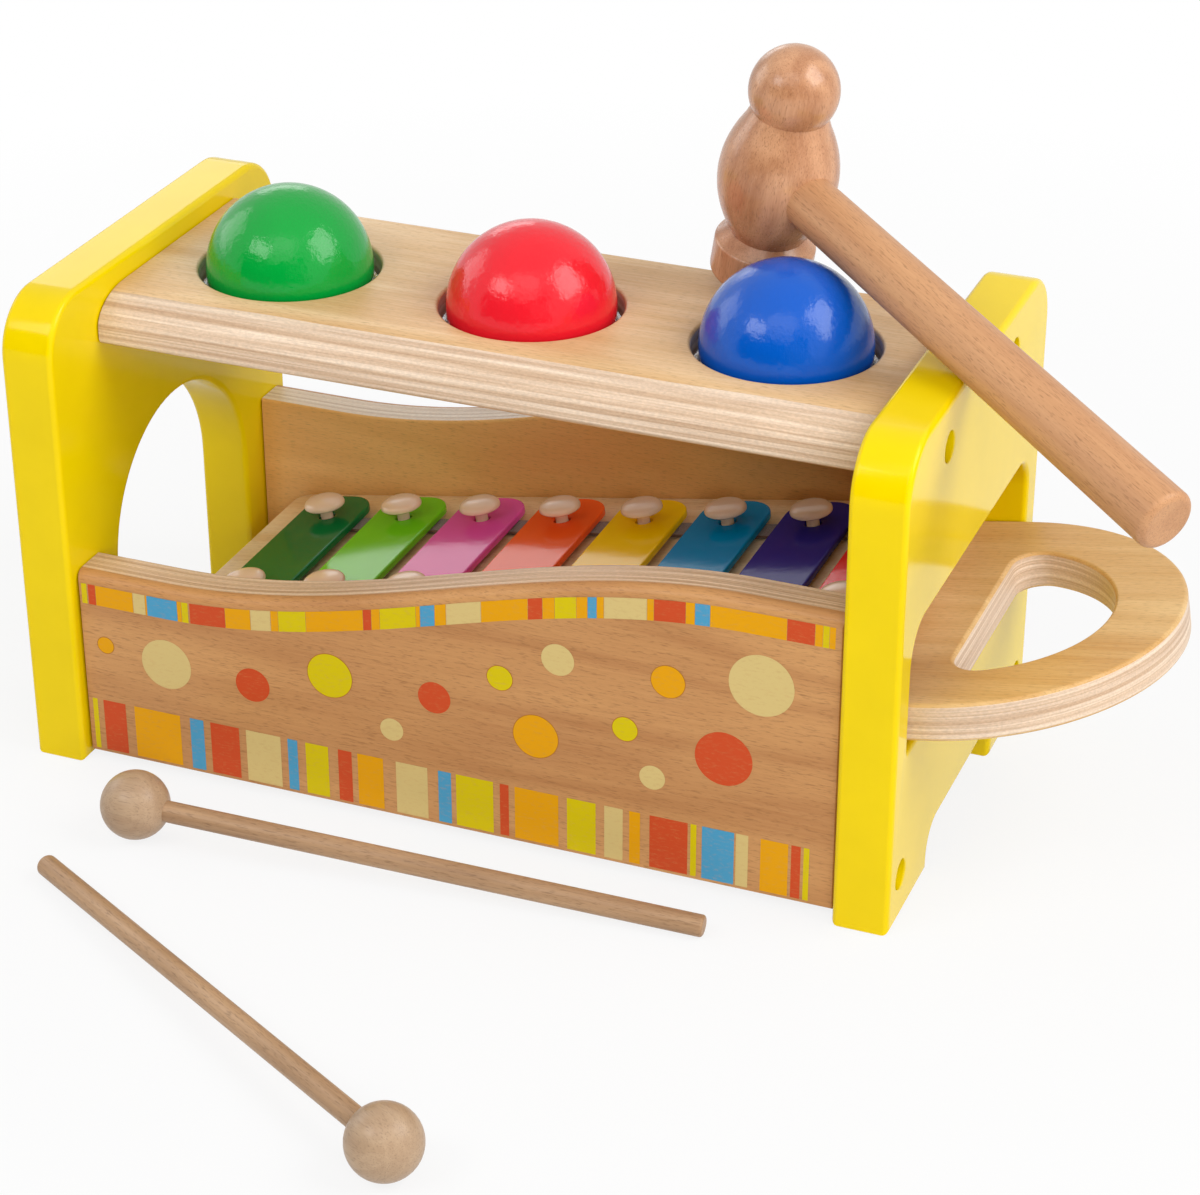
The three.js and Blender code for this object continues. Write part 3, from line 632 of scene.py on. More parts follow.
BIRCH = (rgb(236, 206, 164), rgb(206, 162, 108))
BIRCH_CORE = (rgb(236, 214, 190), rgb(200, 168, 138))
# Painted light: birch lightened for the bar board, standing in for light on it in the bench's shade
BAR_BIRCH_PAINTED_LIGHT = (rgb(252, 228, 190), rgb(230, 190, 136))
HANDLE_BIRCH = (rgb(229, 195, 140), rgb(199, 151, 88))
ALDER = (rgb(206, 154, 98), rgb(176, 122, 74))
ALDER_CORE = (rgb(236, 208, 176), rgb(190, 152, 116))
# Painted light: the rear panel's wood, lightened to stand in for light on its shaded inside face
REAR_ALDER_PAINTED_LIGHT = (rgb(250, 200, 128), rgb(232, 176, 104))
# Painted light: the rear panel's plies, lightened to a painted backlight on its top edge
REAR_CORE_PAINTED_LIGHT = (rgb(252, 238, 222), rgb(222, 200, 178))
# Takes the painted light off the rear panel's outside face, back to the front panel's colour
REAR_OUTSIDE_PAINTED_LIGHT_UNDO = (0.60, 0.51, 0.54, 1)

yellow_look = gloss("yellow_look", rgb(238, 207, 0), rough=0.13, relief=0.000008, shine=0.16, peel=90,
                    grain_axis=ALONG_Z)
top_look = plywood("top_look", BIRCH, BIRCH_CORE, ALONG_Z, BOARD_BOTTOM, BOARD_TOP, plies=9,
                   veneers=(0.06, 0.06))
front_look = plywood("front_look", ALDER, ALDER_CORE, ALONG_Y, -WAVE_OUTER, -WAVE_INNER, plies=7,
                     veneers=(0.26, 0.06))
# Rear panel: painted light in its lightened wood and plies
rear_painted_light_look = plywood("rear_painted_light_look", REAR_ALDER_PAINTED_LIGHT, REAR_CORE_PAINTED_LIGHT, ALONG_Y, WAVE_INNER, WAVE_OUTER, plies=7,
                    veneers=(0.06, 0.26), painted_light_undo_tint=REAR_OUTSIDE_PAINTED_LIGHT_UNDO)
slide_look = plywood("slide_look", HANDLE_BIRCH, BIRCH_CORE, ALONG_Z, -SLIDE_BOARD_THICKNESS, 0, plies=7,
                     veneers=(0.08, 0.08))
# Bar board: painted light in its lightened birch
bar_board_painted_light_look = plywood("bar_board_painted_light_look", BAR_BIRCH_PAINTED_LIGHT, BIRCH_CORE, ALONG_Z, SEAT_GAP, BAR_BOARD_TOP, plies=5,
                         veneers=(0.1, 0.1))
hammer_look = solid_wood("hammer_look", rgb(208, 158, 114), rgb(174, 122, 84), ALONG_X, figure=(170, 12),
                         rings=3, ring_share=0.3)
head_look = solid_wood("head_look", rgb(214, 162, 122), rgb(168, 114, 78), ALONG_Z, figure=(90, 13),
                       rings=4, ring_share=0.45, rough=(0.16, 0.3), shine=0.45)
stick_look = solid_wood("stick_look", rgb(192, 156, 120), rgb(142, 108, 78), ALONG_X, figure=(120, 5),
                        rings=2, ring_share=0.3)
mallet_look = solid_wood("mallet_look", rgb(186, 158, 128), rgb(160, 130, 102), ALONG_X, figure=(60, 6),
                         rings=3, ring_share=0.25, rough=(0.3, 0.45), shine=0.35)
BALL_COLOURS = {"green": (0, 156, 56), "red": (230, 28, 42), "blue": (0, 84, 186)}
ball_looks = {
    name: gloss(f"{name}_look", rgb(*colour), rough=0.17, relief=0.00012, shine=0.36, peel=520,
                grain_axis=ALONG_Z)
    for name, colour in BALL_COLOURS.items()
}
BAR_COLOURS = {
    "dark_green_enamel": (10, 110, 52),
    "light_green_enamel": (112, 198, 24),
    "magenta_enamel": (228, 84, 164),
    "orange_enamel": (250, 92, 30),
    "yellow_enamel": (255, 204, 0),
    "teal_enamel": (0, 136, 190),
    "navy_enamel": (50, 40, 136),
    "red_enamel": (245, 34, 32),
}
BAR_SHINE = 0.16
DARK_BAR_SHINE = {"teal_enamel": 0.06, "navy_enamel": 0.06}
pin_look = gloss("pin_look", rgb(236, 200, 168), rough=0.22, relief=0.00001, shine=0.5)
felt_material = mottled("felt_look", (2600,) * 3, rgb(128, 92, 62), rgb(76, 50, 32), rough=(0.85, 1),
                        relief=0.0002, detail=4, roughness=0.7, Sheen_Weight=0.5, Sheen_Roughness=0.6,
                        Specular_IOR_Level=0.1)
steel_material = mottled("steel_look", (300, 300, 4200), rgb(190, 190, 186), rgb(140, 141, 140),
                         rough=(0.25, 0.45), relief=0.00002, Metallic=1)
clear_material = mottled("clear_look", (220,) * 3, rgb(250, 251, 252), rgb(226, 231, 234),
                         rough=(0.12, 0.3), span=(0.2, 0.8), Transmission_Weight=0.9, IOR=1.45)


# Side panels

EDGE_ROUND = 1.6
MOUTH_ROUND = 0.6
MOUTH_CREST = 0.3 * MOUTH_ROUND
CUT_OVERRUN = 1
STAND_ON_END = Matrix(((0, 0, 1, 0), (1, 0, 0, 0), (0, 1, 0, 0), (0, 0, 0, 1)))


def side_top():
    """Upper outline of a side panel, from the rear foot over the top to the front foot."""
    r = SIDE_CORNER_RADIUS
    return (
        [(HALF_DEPTH, 0)]
        + arc(HALF_DEPTH - r, BENCH_HEIGHT - r, r, 0, 90)
        + arc(-HALF_DEPTH + r, BENCH_HEIGHT - r, r, 90, 180)
        + [(-HALF_DEPTH, 0)]
    )


def left_outline():
    arch = arc(0, ARCH_CENTRE_HEIGHT, ARCH_RADIUS, 180, 0, steps=40)
    return side_top() + [(-ARCH_RADIUS, 0), *arch, (ARCH_RADIUS, 0)]


def right_outline():
    inside = HALF_DEPTH - FOOT_LENGTH
    r = FOOT_CUT_RADIUS
    return (
        side_top()
        + [(-inside, 0)]
        + arc(-inside + r, FOOT_CUT_HEIGHT - r, r, 180, 90)
        + arc(inside - r, FOOT_CUT_HEIGHT - r, r, 90, 0)
        + [(inside, 0)]
    )


def window_outline():
    sill = tray_plane(-SLIDE_BOARD_THICKNESS, INNER_HALF) - SEAT_GAP
    top = tray_plane(PIN_TOP, HALF_LENGTH) + WINDOW_HEADROOM
    half = SLIDE_HALF + SLIDE_CLEARANCE
    small, large = SLIDE_CLEARANCE, WINDOW_CORNER_RADIUS
    return rounded_rectangle(-half, sill, half, top, (small, small, large, large))


def counterbore():
    """A cutter along +Z: the screw's clearance hole, its head's seat and an eased mouth."""
    shank = SCREW_SHANK_RADIUS + SEAT_GAP
    r = COUNTERBORE_RADIUS
    mouth = r + MOUTH_ROUND
    start = HALF_LENGTH - SIDE_THICKNESS - CUT_OVERRUN
    end = HALF_LENGTH + CUT_OVERRUN
    profile = [(0, start), (shank, start), (shank, HEAD_SEAT), (r, HEAD_SEAT), (r, HALF_LENGTH - MOUTH_ROUND)]
    profile += [(r + MOUTH_CREST, HALF_LENGTH - MOUTH_CREST), (mouth, HALF_LENGTH), (mouth, end), (0, end)]
    return turned("counterbore", profile)


def side_panel(name, loops, end):
    mesh = prism(name, loops, SIDE_THICKNESS, EDGE_ROUND, EDGE_ROUND)
    mesh.transform(shift(INNER_HALF if end > 0 else -HALF_LENGTH) @ STAND_ON_END)
    cutter = counterbore()
    turn = Matrix.Rotation(end * math.pi / 2, 4, "Y")
    cuts = [(cutter, shift(0, y, z) @ turn) for y, z in END_SCREWS.values()]
    dressed(name, carved(mesh, cuts), bench(), "bench", "yellow_paint", yellow_look)


side_panel("left_side_panel", [left_outline()], -1)
side_panel("right_side_panel", [right_outline(), window_outline()], 1)


# Top board

BOARD_END_ROUND = 0.3
HOLE_MOUTH_ROUND = 1.0


def board_outline():
    half = BOARD_WIDTH / 2
    r = BOARD_BACK_RADIUS
    rise = BOARD_THICKNESS - BOARD_FRONT_EDGE
    return (
        arc(half - r, BOARD_BOTTOM + r, r, -90, 0, steps=6)
        + arc(half - r, BOARD_TOP - r, r, 0, 90, steps=6)
        + arc(-half + BOARD_FRONT_RUN, BOARD_TOP - rise, BOARD_FRONT_RUN, 90, 180, steps=20, radius_y=rise)
        + arc(-half + r, BOARD_BOTTOM + r, r, 180, 270, steps=6)
    )


def hole_cutter():
    """A cutter for a ball's hole: the ring's pocket below, the bore, and a rounded mouth."""
    pocket = HOLE_RADIUS + RING_FLANGE_WIDTH + SEAT_GAP
    pocket_top = BOARD_BOTTOM + RING_FLANGE_THICKNESS + SEAT_GAP
    start = BOARD_BOTTOM - CUT_OVERRUN
    end = BOARD_TOP + CUT_OVERRUN
    r = HOLE_MOUTH_ROUND
    profile = [(0, start), (pocket, start), (pocket, pocket_top), (HOLE_RADIUS, pocket_top)]
    profile += arc(HOLE_RADIUS + r, BOARD_TOP - r, r, 180, 90, steps=5)
    return turned("hole", [*profile, (HOLE_RADIUS + r, end), (0, end)], steps=96)


board_half = INNER_HALF - SEAT_GAP
board_mesh = prism("top_board", [board_outline()], 2 * board_half, BOARD_END_ROUND, BOARD_END_ROUND)
board_mesh.transform(shift(-board_half) @ STAND_ON_END)
ball_hole = hole_cutter()
board_cuts = [(ball_hole, shift(x)) for x in BALLS.values()]
dressed("top_board", carved(board_mesh, board_cuts), bench(), "bench", "birch_plywood", top_look)


# Balls and their rings

RING_EDGE = 0.4
RING_TOP_EDGE = 0.3
RING_LIP_TAPER = 0.2


def ball_mesh(name, radius, steps=64):
    return turned(name, arc(0, 0, radius, -90, 90, steps // 2), steps)


def ring_mesh():
    outer = HOLE_RADIUS - SEAT_GAP
    inner = outer - RING_WALL
    lip_top = BALL_HEIGHT - RING_LIP_DEPTH
    lip = math.sqrt((BALL_RADIUS + SEAT_GAP) ** 2 - RING_LIP_DEPTH ** 2)
    lip_base = lip_top - RING_LIP_THICKNESS
    flange = HOLE_RADIUS + RING_FLANGE_WIDTH
    flange_top = BOARD_BOTTOM + RING_FLANGE_THICKNESS
    profile = [(inner, BOARD_BOTTOM), (flange - RING_EDGE, BOARD_BOTTOM), (flange, BOARD_BOTTOM + RING_EDGE)]
    profile += [(flange, flange_top), (outer, flange_top), (outer, lip_top - RING_TOP_EDGE)]
    profile += [(outer - RING_TOP_EDGE, lip_top), (lip + RING_TOP_EDGE, lip_top), (lip, lip_top - RING_EDGE)]
    profile += [(lip + RING_LIP_TAPER, lip_base), (inner, lip_base)]
    return turned("ball_ring", profile, steps=72, closed=True)


ring = ring_mesh()
for colour, x in BALLS.items():
    ball = f"ball_{colour}"
    dressed(ball, ball_mesh(ball, BALL_RADIUS), bench(x, 0, BALL_HEIGHT), f"{colour}_ball",
            f"{colour}_lacquer", ball_looks[colour])
    dressed(f"ball_ring_{colour}", ring.copy(), bench(x), "bench", "clear_plastic", clear_material)


# Front and rear panels

WAVE_RUN = INNER_HALF - WAVE_FLAT
wave_half = INNER_HALF - SEAT_GAP
wave_curve = bezier([(WAVE_RUN, WAVE_HIGH), (WAVE_RUN - WAVE_EASE, WAVE_HIGH),
                     (-WAVE_RUN + WAVE_EASE, WAVE_LOW), (-WAVE_RUN, WAVE_LOW)])
wave_outline = [(-wave_half, WAVE_LIFT), (wave_half, WAVE_LIFT), (wave_half, WAVE_HIGH), *wave_curve,
                (-wave_half, WAVE_LOW)]


def wave_height(x):
    """Height of the front panel's top edge at a place along the bench."""
    for (x1, z1), (x0, z0) in zip(wave_curve, wave_curve[1:]):
        if x0 <= x <= x1:
            return z0 + (z1 - z0) * (x - x0) / (x1 - x0)
    return WAVE_HIGH if x > 0 else WAVE_LOW


OUTER_EDGE = 3.2
INNER_EDGE = 1.0
END_EASE = 0.2
GROOVE_END = 5


def wave_ease(point):
    """The wave's edge is fully rounded, the panel's ends and foot are only eased."""
    x, z = point
    return END_EASE if abs(x) == wave_half else 1, END_EASE if z == WAVE_LIFT else 1


def wave_panel(name, side, material):
    """The plate is built with its outer face up, then stood with that face to the front or the back."""
    outline = wave_outline
    if side > 0:
        outline = [(-x, z if z == WAVE_LIFT else z + WAVE_REAR_RISE) for x, z in wave_outline[::-1]]
    mesh = prism(name, [outline], WAVE_THICKNESS, INNER_EDGE, OUTER_EDGE, ease=wave_ease)
    stand = Matrix.Rotation(math.pi / 2, 4, "X")
    turn = Matrix.Rotation(math.pi if side > 0 else 0, 4, "Z")
    mesh.transform(turn @ shift(0, -WAVE_INNER) @ stand)
    low = (TRAY_LEFT - SLIDE_CLEARANCE, side * WAVE_INNER, -SLIDE_BOARD_THICKNESS - SEAT_GAP)
    high = (GROOVE_END, side * (WAVE_INNER + GROOVE_DEPTH), SEAT_GAP)
    groove = block("groove", [min(a, b) for a, b in zip(low, high)], [max(a, b) for a, b in zip(low, high)])
    mesh = carved(mesh, [(groove, bench_place.inverted() @ tray_place)])
    dressed(name, mesh, bench(), "bench", "red_wood", material)


wave_panel("front_panel", -1, front_look)
wave_panel("rear_panel", 1, rear_painted_light_look)


# Print on the front and rear panels: a band under the wave, dots, and stripes along the foot, in millimetres

BAND_DROP = 3
BAND_HEIGHT = 6
STRIPE_FOOT = 3.6
STRIPE_HEIGHT = 15.6
PRINT_LIFT = 0.05
LINE_LIFT = 0.03
LINE_WIDTH = 0.22
BAND_END = 105.0
SMALLEST_GAP = 0.3
STRIP_STEP = 2
OUTLINED = ("orange", "lime")
LINE_INK = rgb(176, 112, 34)
INKS = {
    "red": rgb(198, 74, 34), "orange": rgb(222, 156, 0), "cream": rgb(208, 184, 120),
    "blue": rgb(74, 152, 190), "lime": rgb(208, 188, 0),
}
BAND = [
    ("lime", -106.0, -104.2), ("red", -104.0, -101.6), ("cream", -90.4, -86.6), ("blue", -86.2, -77.0),
    ("lime", -75.8, -73.7), ("red", -73.4, -62.7), ("cream", -55.3, -49.2), ("lime", -47.1, -38.9),
    ("red", -22.4, -19.9), ("lime", -17.6, -7.2), ("blue", -6.1, -1.9), ("cream", 1.2, 11.1),
    ("red", 23.9, 28.0), ("lime", 31.2, 37.2), ("blue", 40.1, 42.7), ("cream", 44.5, 56.1),
    ("red", 57.8, 66.3), ("blue", 68.6, 72.7), ("red", 92.5, 99.8), ("lime", 101.7, 103.5),
]
STRIPES = [
    ("lime", -105.3, -103.8), ("red", -102.0, -95.2), ("orange", -92.5, -78.5), ("blue", -75.5, -71.4),
    ("red", -69.3, -60.7), ("cream", -58.6, -48.3), ("blue", -46.2, -43.3), ("lime", -40.9, -34.2),
    ("red", -31.3, -27.3), ("orange", -25.6, -18.1), ("cream", -14.4, -5.3), ("blue", -2.2, 1.5),
    ("lime", 2.9, 13.5), ("red", 15.4, 17.9), ("orange", 19.6, 31.9), ("lime", 34.3, 42.3),
    ("cream", 44.7, 49.8), ("orange", 51.6, 54.6), ("red", 57.2, 67.6), ("lime", 68.4, 70.0),
    ("blue", 71.5, 80.2), ("cream", 80.7, 84.0), ("orange", 87.3, 94.7), ("red", 95.5, 98.0),
    ("lime", 98.8, 100.3),
]
DOTS = [
    ("orange", -99.8, 36.6, 2.4), ("cream", -81.5, 34.5, 7.4), ("red", -55.7, 33.6, 5.0),
    ("lime", -32.7, 41.3, 6.4), ("red", -2.7, 41.1, 4.6), ("cream", -15.2, 28.8, 3.3),
    ("lime", 15.9, 50.9, 3.5), ("cream", 32.0, 59.6, 4.5), ("orange", 25.7, 35.7, 6.2),
    ("lime", 50.3, 43.3, 3.4), ("orange", 61.8, 59.5, 4.5), ("cream", 57.8, 30.6, 3.5),
    ("cream", 86.4, 63.6, 8.6), ("red", 76.9, 40.4, 7.7),
]


def strip(x0, x1, foot):
    """A printed strip, of the stripes along the foot or of the band under the wave."""
    steps = max(2, round((x1 - x0) / STRIP_STEP))
    low, high = [], []
    for i in range(steps + 1):
        x = x0 + (x1 - x0) * i / steps
        top = STRIPE_FOOT + STRIPE_HEIGHT if foot else wave_height(x) - BAND_DROP
        low.append((x, STRIPE_FOOT if foot else top - BAND_HEIGHT))
        high.append((x, top))
    return low + high[::-1]


def printed(name, outlines, lift, material):
    """Flat shapes in X and Z, just clear of the front and rear panels' outer faces."""
    bm = bmesh.new()
    for side in (-1, 1):
        for outline in outlines:
            corners = [bm.verts.new((x, side * (WAVE_OUTER + lift), z)) for x, z in outline]
            for triangle in tessellate_polygon([[v.co for v in corners]]):
                face = bm.faces.new([corners[i] for i in triangle])
                face.normal_update()
                if face.normal.y * side < 0:
                    face.normal_flip()
    bmesh.ops.scale(bm, vec=(MM, MM, MM), verts=bm.verts)
    piece(name, stored(name, bm), bench(), "bench", "red_wood", material)


def print_pattern():
    shapes = {colour: [] for colour in INKS}
    lines = []
    taken = sorted((x0, x1) for _, x0, x1 in BAND)
    edges = [BAND[0][1], *[x for pair in taken for x in pair], BAND_END]
    for x0, x1 in zip(edges[::2], edges[1::2]):
        if x1 - x0 > SMALLEST_GAP:
            shapes["orange"].append(strip(x0, x1, False))
    for colour, x0, x1 in BAND:
        shapes[colour].append(strip(x0 + LINE_WIDTH / 2, x1 - LINE_WIDTH / 2, False))
    for colour, x0, x1 in STRIPES:
        shapes[colour].append(strip(x0, x1, True))
    for colour, x, z, radius in DOTS:
        shapes[colour].append(circle(x, z, radius, steps=64))
        if colour in OUTLINED:
            lines.append(circle(x, z, radius + LINE_WIDTH, steps=64))
    printed("print_lines", lines, LINE_LIFT, ink("line_ink", LINE_INK))
    for colour, outlines in shapes.items():
        printed(f"print_{colour}", outlines, PRINT_LIFT, ink(f"{colour}_ink", INKS[colour]))


print_pattern()


# Xylophone

SLIDE_EDGE = 1.2
BAR_BOARD_EDGE = 0.8
FELT_CORNER = 0.8
FELT_LOW_EDGE = 0.25
FELT_HIGH_EDGE = 0.35
BAR_LOW_EDGE = 0.3
BAR_HIGH_EDGE = 0.55
PIN_FULLNESS = 0.8
PIN_NECK = 0.2
PIN_DOME_STEPS = 16


def slide_board_loops():
    r = SLIDE_HALF
    outline = [(TRAY_LEFT, -r), *arc(HANDLE_OFFSET, 0, r, -90, 90, steps=64), (TRAY_LEFT, r)]
    inner = r - HANDLE_RIM
    fillet = FINGER_HOLE_RADIUS
    fillet_x = FINGER_HOLE_SETBACK + fillet - HANDLE_OFFSET
    fillet_y = math.sqrt((inner - fillet) ** 2 - fillet_x ** 2)
    turn = math.degrees(math.atan2(fillet_y, fillet_x))
    hole = (
        arc(HANDLE_OFFSET, 0, inner, -turn, turn, steps=48)[:-1]
        + arc(HANDLE_OFFSET + fillet_x, fillet_y, fillet, turn, 180)
        + arc(HANDLE_OFFSET + fillet_x, -fillet_y, fillet, 180, 360 - turn)[:-1]
    )
    return [outline, hole]


def seat_cutter():
    """A cutter for the seat of a tray screw's head, from below."""
    r = COUNTERBORE_RADIUS
    profile = [(0, -CUT_OVERRUN), (r, -CUT_OVERRUN), (r, TRAY_COUNTERBORE_DEPTH), (0, TRAY_COUNTERBORE_DEPTH)]
    return turned("seat", profile)


TRAY_SCREWS = {"left": TRAY_LEFT + TRAY_SCREW_INSET, "right": BAR_BOARD_RIGHT - TRAY_SCREW_INSET}
slide_mesh = prism("slide_board", slide_board_loops(), SLIDE_BOARD_THICKNESS, SLIDE_EDGE, SLIDE_EDGE)
slide_mesh.transform(shift(0, 0, -SLIDE_BOARD_THICKNESS))
seat = seat_cutter()
slide_cuts = [(seat, shift(u, 0, -SLIDE_BOARD_THICKNESS)) for u in TRAY_SCREWS.values()]
piece("look_slide_board", carved(slide_mesh, slide_cuts), tray_place, "xylophone", "birch_plywood",
      slide_look, "xylophone_slide_board")

bar_board_half = WAVE_INNER - SEAT_GAP
bar_board_outline = rounded_rectangle(TRAY_LEFT, -bar_board_half, BAR_BOARD_RIGHT, bar_board_half,
                                      [BAR_BOARD_CORNER] * 4)
bar_board_mesh = prism("bar_board", [bar_board_outline], BAR_BOARD_THICKNESS, BAR_BOARD_EDGE, BAR_BOARD_EDGE)
bar_board_mesh.transform(shift(0, 0, SEAT_GAP))
piece("look_bar_board", bar_board_mesh, tray_place, "xylophone", "birch_plywood", bar_board_painted_light_look,
      "xylophone_bar_board")


def felt_strip(name, y):
    left, half = TRAY_LEFT + BAR_MARGIN_LEFT, FELT_WIDTH / 2
    outline = rounded_rectangle(left, y - half, left + BARS_LENGTH, y + half, [FELT_CORNER] * 4)
    mesh = prism(name, [outline], FELT_THICKNESS, FELT_LOW_EDGE, FELT_HIGH_EDGE)
    mesh.transform(shift(0, 0, FELT_BASE))
    dressed(name, mesh, tray_place, "xylophone", "felt", felt_material)


def bar(name, u, slot, colour):
    half, end = BAR_WIDTH / 2, BAR_LENGTH / 2
    outline = rounded_rectangle(u - half, -end, u + half, end, [BAR_CORNER_RADIUS] * 4)
    holes = [circle(u, y, PIN_HOLE_RADIUS, steps=24) for y in PIN_ROWS.values()]
    mesh = prism(name, [outline, *holes], BAR_THICKNESS, BAR_LOW_EDGE, BAR_HIGH_EDGE)
    mesh.transform(shift(0, 0, BAR_BASE))
    shine = DARK_BAR_SHINE.get(slot, BAR_SHINE)
    look = gloss(f"{name}_look", rgb(*colour), rough=0.1, relief=0.00002, shine=shine)
    dressed(name, mesh, tray_place, "xylophone", slot, look)


def pin_mesh():
    """A mushroom-headed pin, standing on the bar board."""
    foot = BAR_BOARD_TOP - PIN_DEPTH + SEAT_GAP
    rim = PIN_HEAD_BASE + PIN_HEAD_RIM
    under = arc(0, rim, PIN_HEAD_RADIUS, -60, 0, steps=6, radius_y=PIN_HEAD_RIM)
    dome = []
    for i in range(1, PIN_DOME_STEPS):
        turn = math.pi / 2 * i / PIN_DOME_STEPS
        across, up = math.cos(turn) ** PIN_FULLNESS, math.sin(turn) ** PIN_FULLNESS
        dome.append((PIN_HEAD_RADIUS * across, rim + (PIN_TOP - rim) * up))
    shaft = [(0, foot), (PIN_SHAFT_RADIUS, foot), (PIN_SHAFT_RADIUS, PIN_HEAD_BASE + PIN_NECK)]
    return turned("pin", [*shaft, *under, *dome, (0, PIN_TOP)], sharp=TURNED_SHARP_ANGLE)


for row, y in PIN_ROWS.items():
    felt_strip(f"felt_{row}", y)
    for index, u in enumerate(BAR_PLACES, 1):
        place = tray_place @ shift(u, y)
        dressed(f"pin_{row}_{index}", pin_mesh(), place, "xylophone", "pin_plastic", pin_look)
for index, (slot, colour) in enumerate(BAR_COLOURS.items()):
    bar(f"bar_{index + 1}", BAR_PLACES[index], slot, colour)


# Screws

THREAD_PITCH = 1.4
THREAD_DEPTH = 0.45
PLAIN_SHANK = 3
PLAIN_EASE = 1
SCREW_HEAD_ROUND = 1
CROSS_ARM = 2.1
CROSS_HALF_WIDTH = 0.45
CROSS_FLOOR = 1.2
CROSS_TOP = 4


def screw_mesh(length):
    """A pan-headed wood screw along +Z with a cross in its head and a thread on its shank."""
    shank, head, r = SCREW_SHANK_RADIUS, SCREW_HEAD_RADIUS, SCREW_HEAD_ROUND
    root = shank - THREAD_DEPTH
    profile = [(0, -length)]
    for i in range(int((length - shank - PLAIN_SHANK) / THREAD_PITCH)):
        z = -length + shank + i * THREAD_PITCH
        profile += [(root, z), (shank, z + THREAD_PITCH / 2)]
    profile += [(root, -PLAIN_SHANK), (shank, -PLAIN_EASE), (shank, 0), (head, 0)]
    profile += arc(head - r, SCREW_HEAD_HEIGHT - r, r, 0, 90, steps=5) + [(0, SCREW_HEAD_HEIGHT)]
    cross = []
    for x, y in ((CROSS_ARM, CROSS_HALF_WIDTH), (CROSS_HALF_WIDTH, CROSS_ARM)):
        cross.append((block("slot", (-x, -y, CROSS_FLOOR), (x, y, CROSS_TOP)), Matrix.Identity(4)))
    return carved(turned("screw", profile), cross)


end_screw = screw_mesh(SCREW_LENGTH)
for side, end in (("left", -1), ("right", 1)):
    for name, (y, z) in END_SCREWS.items():
        place = bench(end * (HEAD_SEAT + SEAT_GAP), y, z) @ Matrix.Rotation(end * math.pi / 2, 4, "Y")
        dressed(f"screw_{side}_{name}", end_screw.copy(), place, "bench", "screw_steel", steel_material)
tray_screw = screw_mesh(TRAY_SCREW_LENGTH)
for side, u in TRAY_SCREWS.items():
    seat_height = -SLIDE_BOARD_THICKNESS + TRAY_COUNTERBORE_DEPTH - SEAT_GAP
    place = tray_place @ shift(u, 0, seat_height) @ Matrix.Rotation(math.pi, 4, "X")
    dressed(f"tray_screw_{side}", tray_screw.copy(), place, "xylophone", "screw_steel", steel_material)


# Hammer

STEEPEST_SLOPE = math.pi / 4
SLOPE_TRIES = 40
DRUM_ROUND = 1.2
BARREL_STEPS = 24


def hammer_rest(slope):
    """Where the hammer's axes cross at a slope of the handle, and its gap to the right panel's edge."""
    height = BOARD_TOP + SEAT_GAP + HAMMER_FACE_REACH * math.cos(slope) + HAMMER_FACE_RADIUS * math.sin(slope)
    rise = height - HAMMER_HEAD_SETBACK * math.sin(slope) - BALL_HEIGHT
    reach = BALL_RADIUS + HAMMER_HANDLE_END_RADIUS + HAMMER_BALL_GAP
    aside = math.sqrt(reach ** 2 - min(rise, reach) ** 2)
    x = BALL_SPACING + aside * math.sin(HAMMER_YAW) - HAMMER_HEAD_SETBACK * math.cos(HAMMER_YAW)
    y = aside * math.cos(HAMMER_YAW) + HAMMER_HEAD_SETBACK * math.sin(HAMMER_YAW)
    run = (HALF_LENGTH - x) / math.cos(HAMMER_YAW)
    reach_along = run * math.cos(slope) + (height - BENCH_HEIGHT) * math.sin(slope)
    taper = (HAMMER_HANDLE_END_RADIUS - HAMMER_HANDLE_RADIUS) / (HAMMER_HANDLE_LENGTH - HAMMER_BARREL_RADIUS)
    radius = HAMMER_HANDLE_RADIUS + taper * (reach_along - HAMMER_BARREL_RADIUS)
    gap = (height - BENCH_HEIGHT) * math.cos(slope) - run * math.sin(slope) - radius - SEAT_GAP
    return (x, y, height), gap


def hammer_place():
    """The slope at which the handle just lies on the right panel's edge, found by halving."""
    low, high = 0, STEEPEST_SLOPE
    for _ in range(SLOPE_TRIES):
        slope = (low + high) / 2
        if hammer_rest(slope)[1] > 0:
            low = slope
        else:
            high = slope
    turn = Matrix.Rotation(-HAMMER_YAW, 4, "Z") @ Matrix.Rotation(low, 4, "Y")
    return bench(*hammer_rest(low)[0]) @ turn


def hammer_head_mesh():
    face = -HAMMER_FACE_REACH
    drum_end = face + HAMMER_DRUM_LENGTH
    r = HAMMER_FACE_ROUND
    profile = [(0, face), *arc(HAMMER_DRUM_RADIUS - r, face + r, r, -90, 0, steps=6)]
    profile += arc(HAMMER_DRUM_RADIUS - DRUM_ROUND, drum_end - DRUM_ROUND, DRUM_ROUND, 0, 70, steps=5)
    neck = (drum_end - HAMMER_BARREL_HALF) / 2
    profile.append((HAMMER_NECK_RADIUS, neck))
    swell = HAMMER_BARREL_RADIUS - HAMMER_BARREL_END_RADIUS
    for i in range(BARREL_STEPS + 1):
        share = 2 * i / BARREL_STEPS - 1
        profile.append((HAMMER_BARREL_END_RADIUS + swell * (1 - share ** 2), HAMMER_BARREL_HALF * share))
    start = math.degrees(math.asin(HAMMER_NECK_RADIUS / HAMMER_PEEN_RADIUS)) - 90
    profile += arc(0, HAMMER_PEEN_REACH, HAMMER_PEEN_RADIUS, start, 90, steps=24)
    profile[-1] = (0, HAMMER_PEEN_REACH + HAMMER_PEEN_RADIUS)
    return turned("hammer_head", profile, steps=72, sharp=TURNED_SHARP_ANGLE)


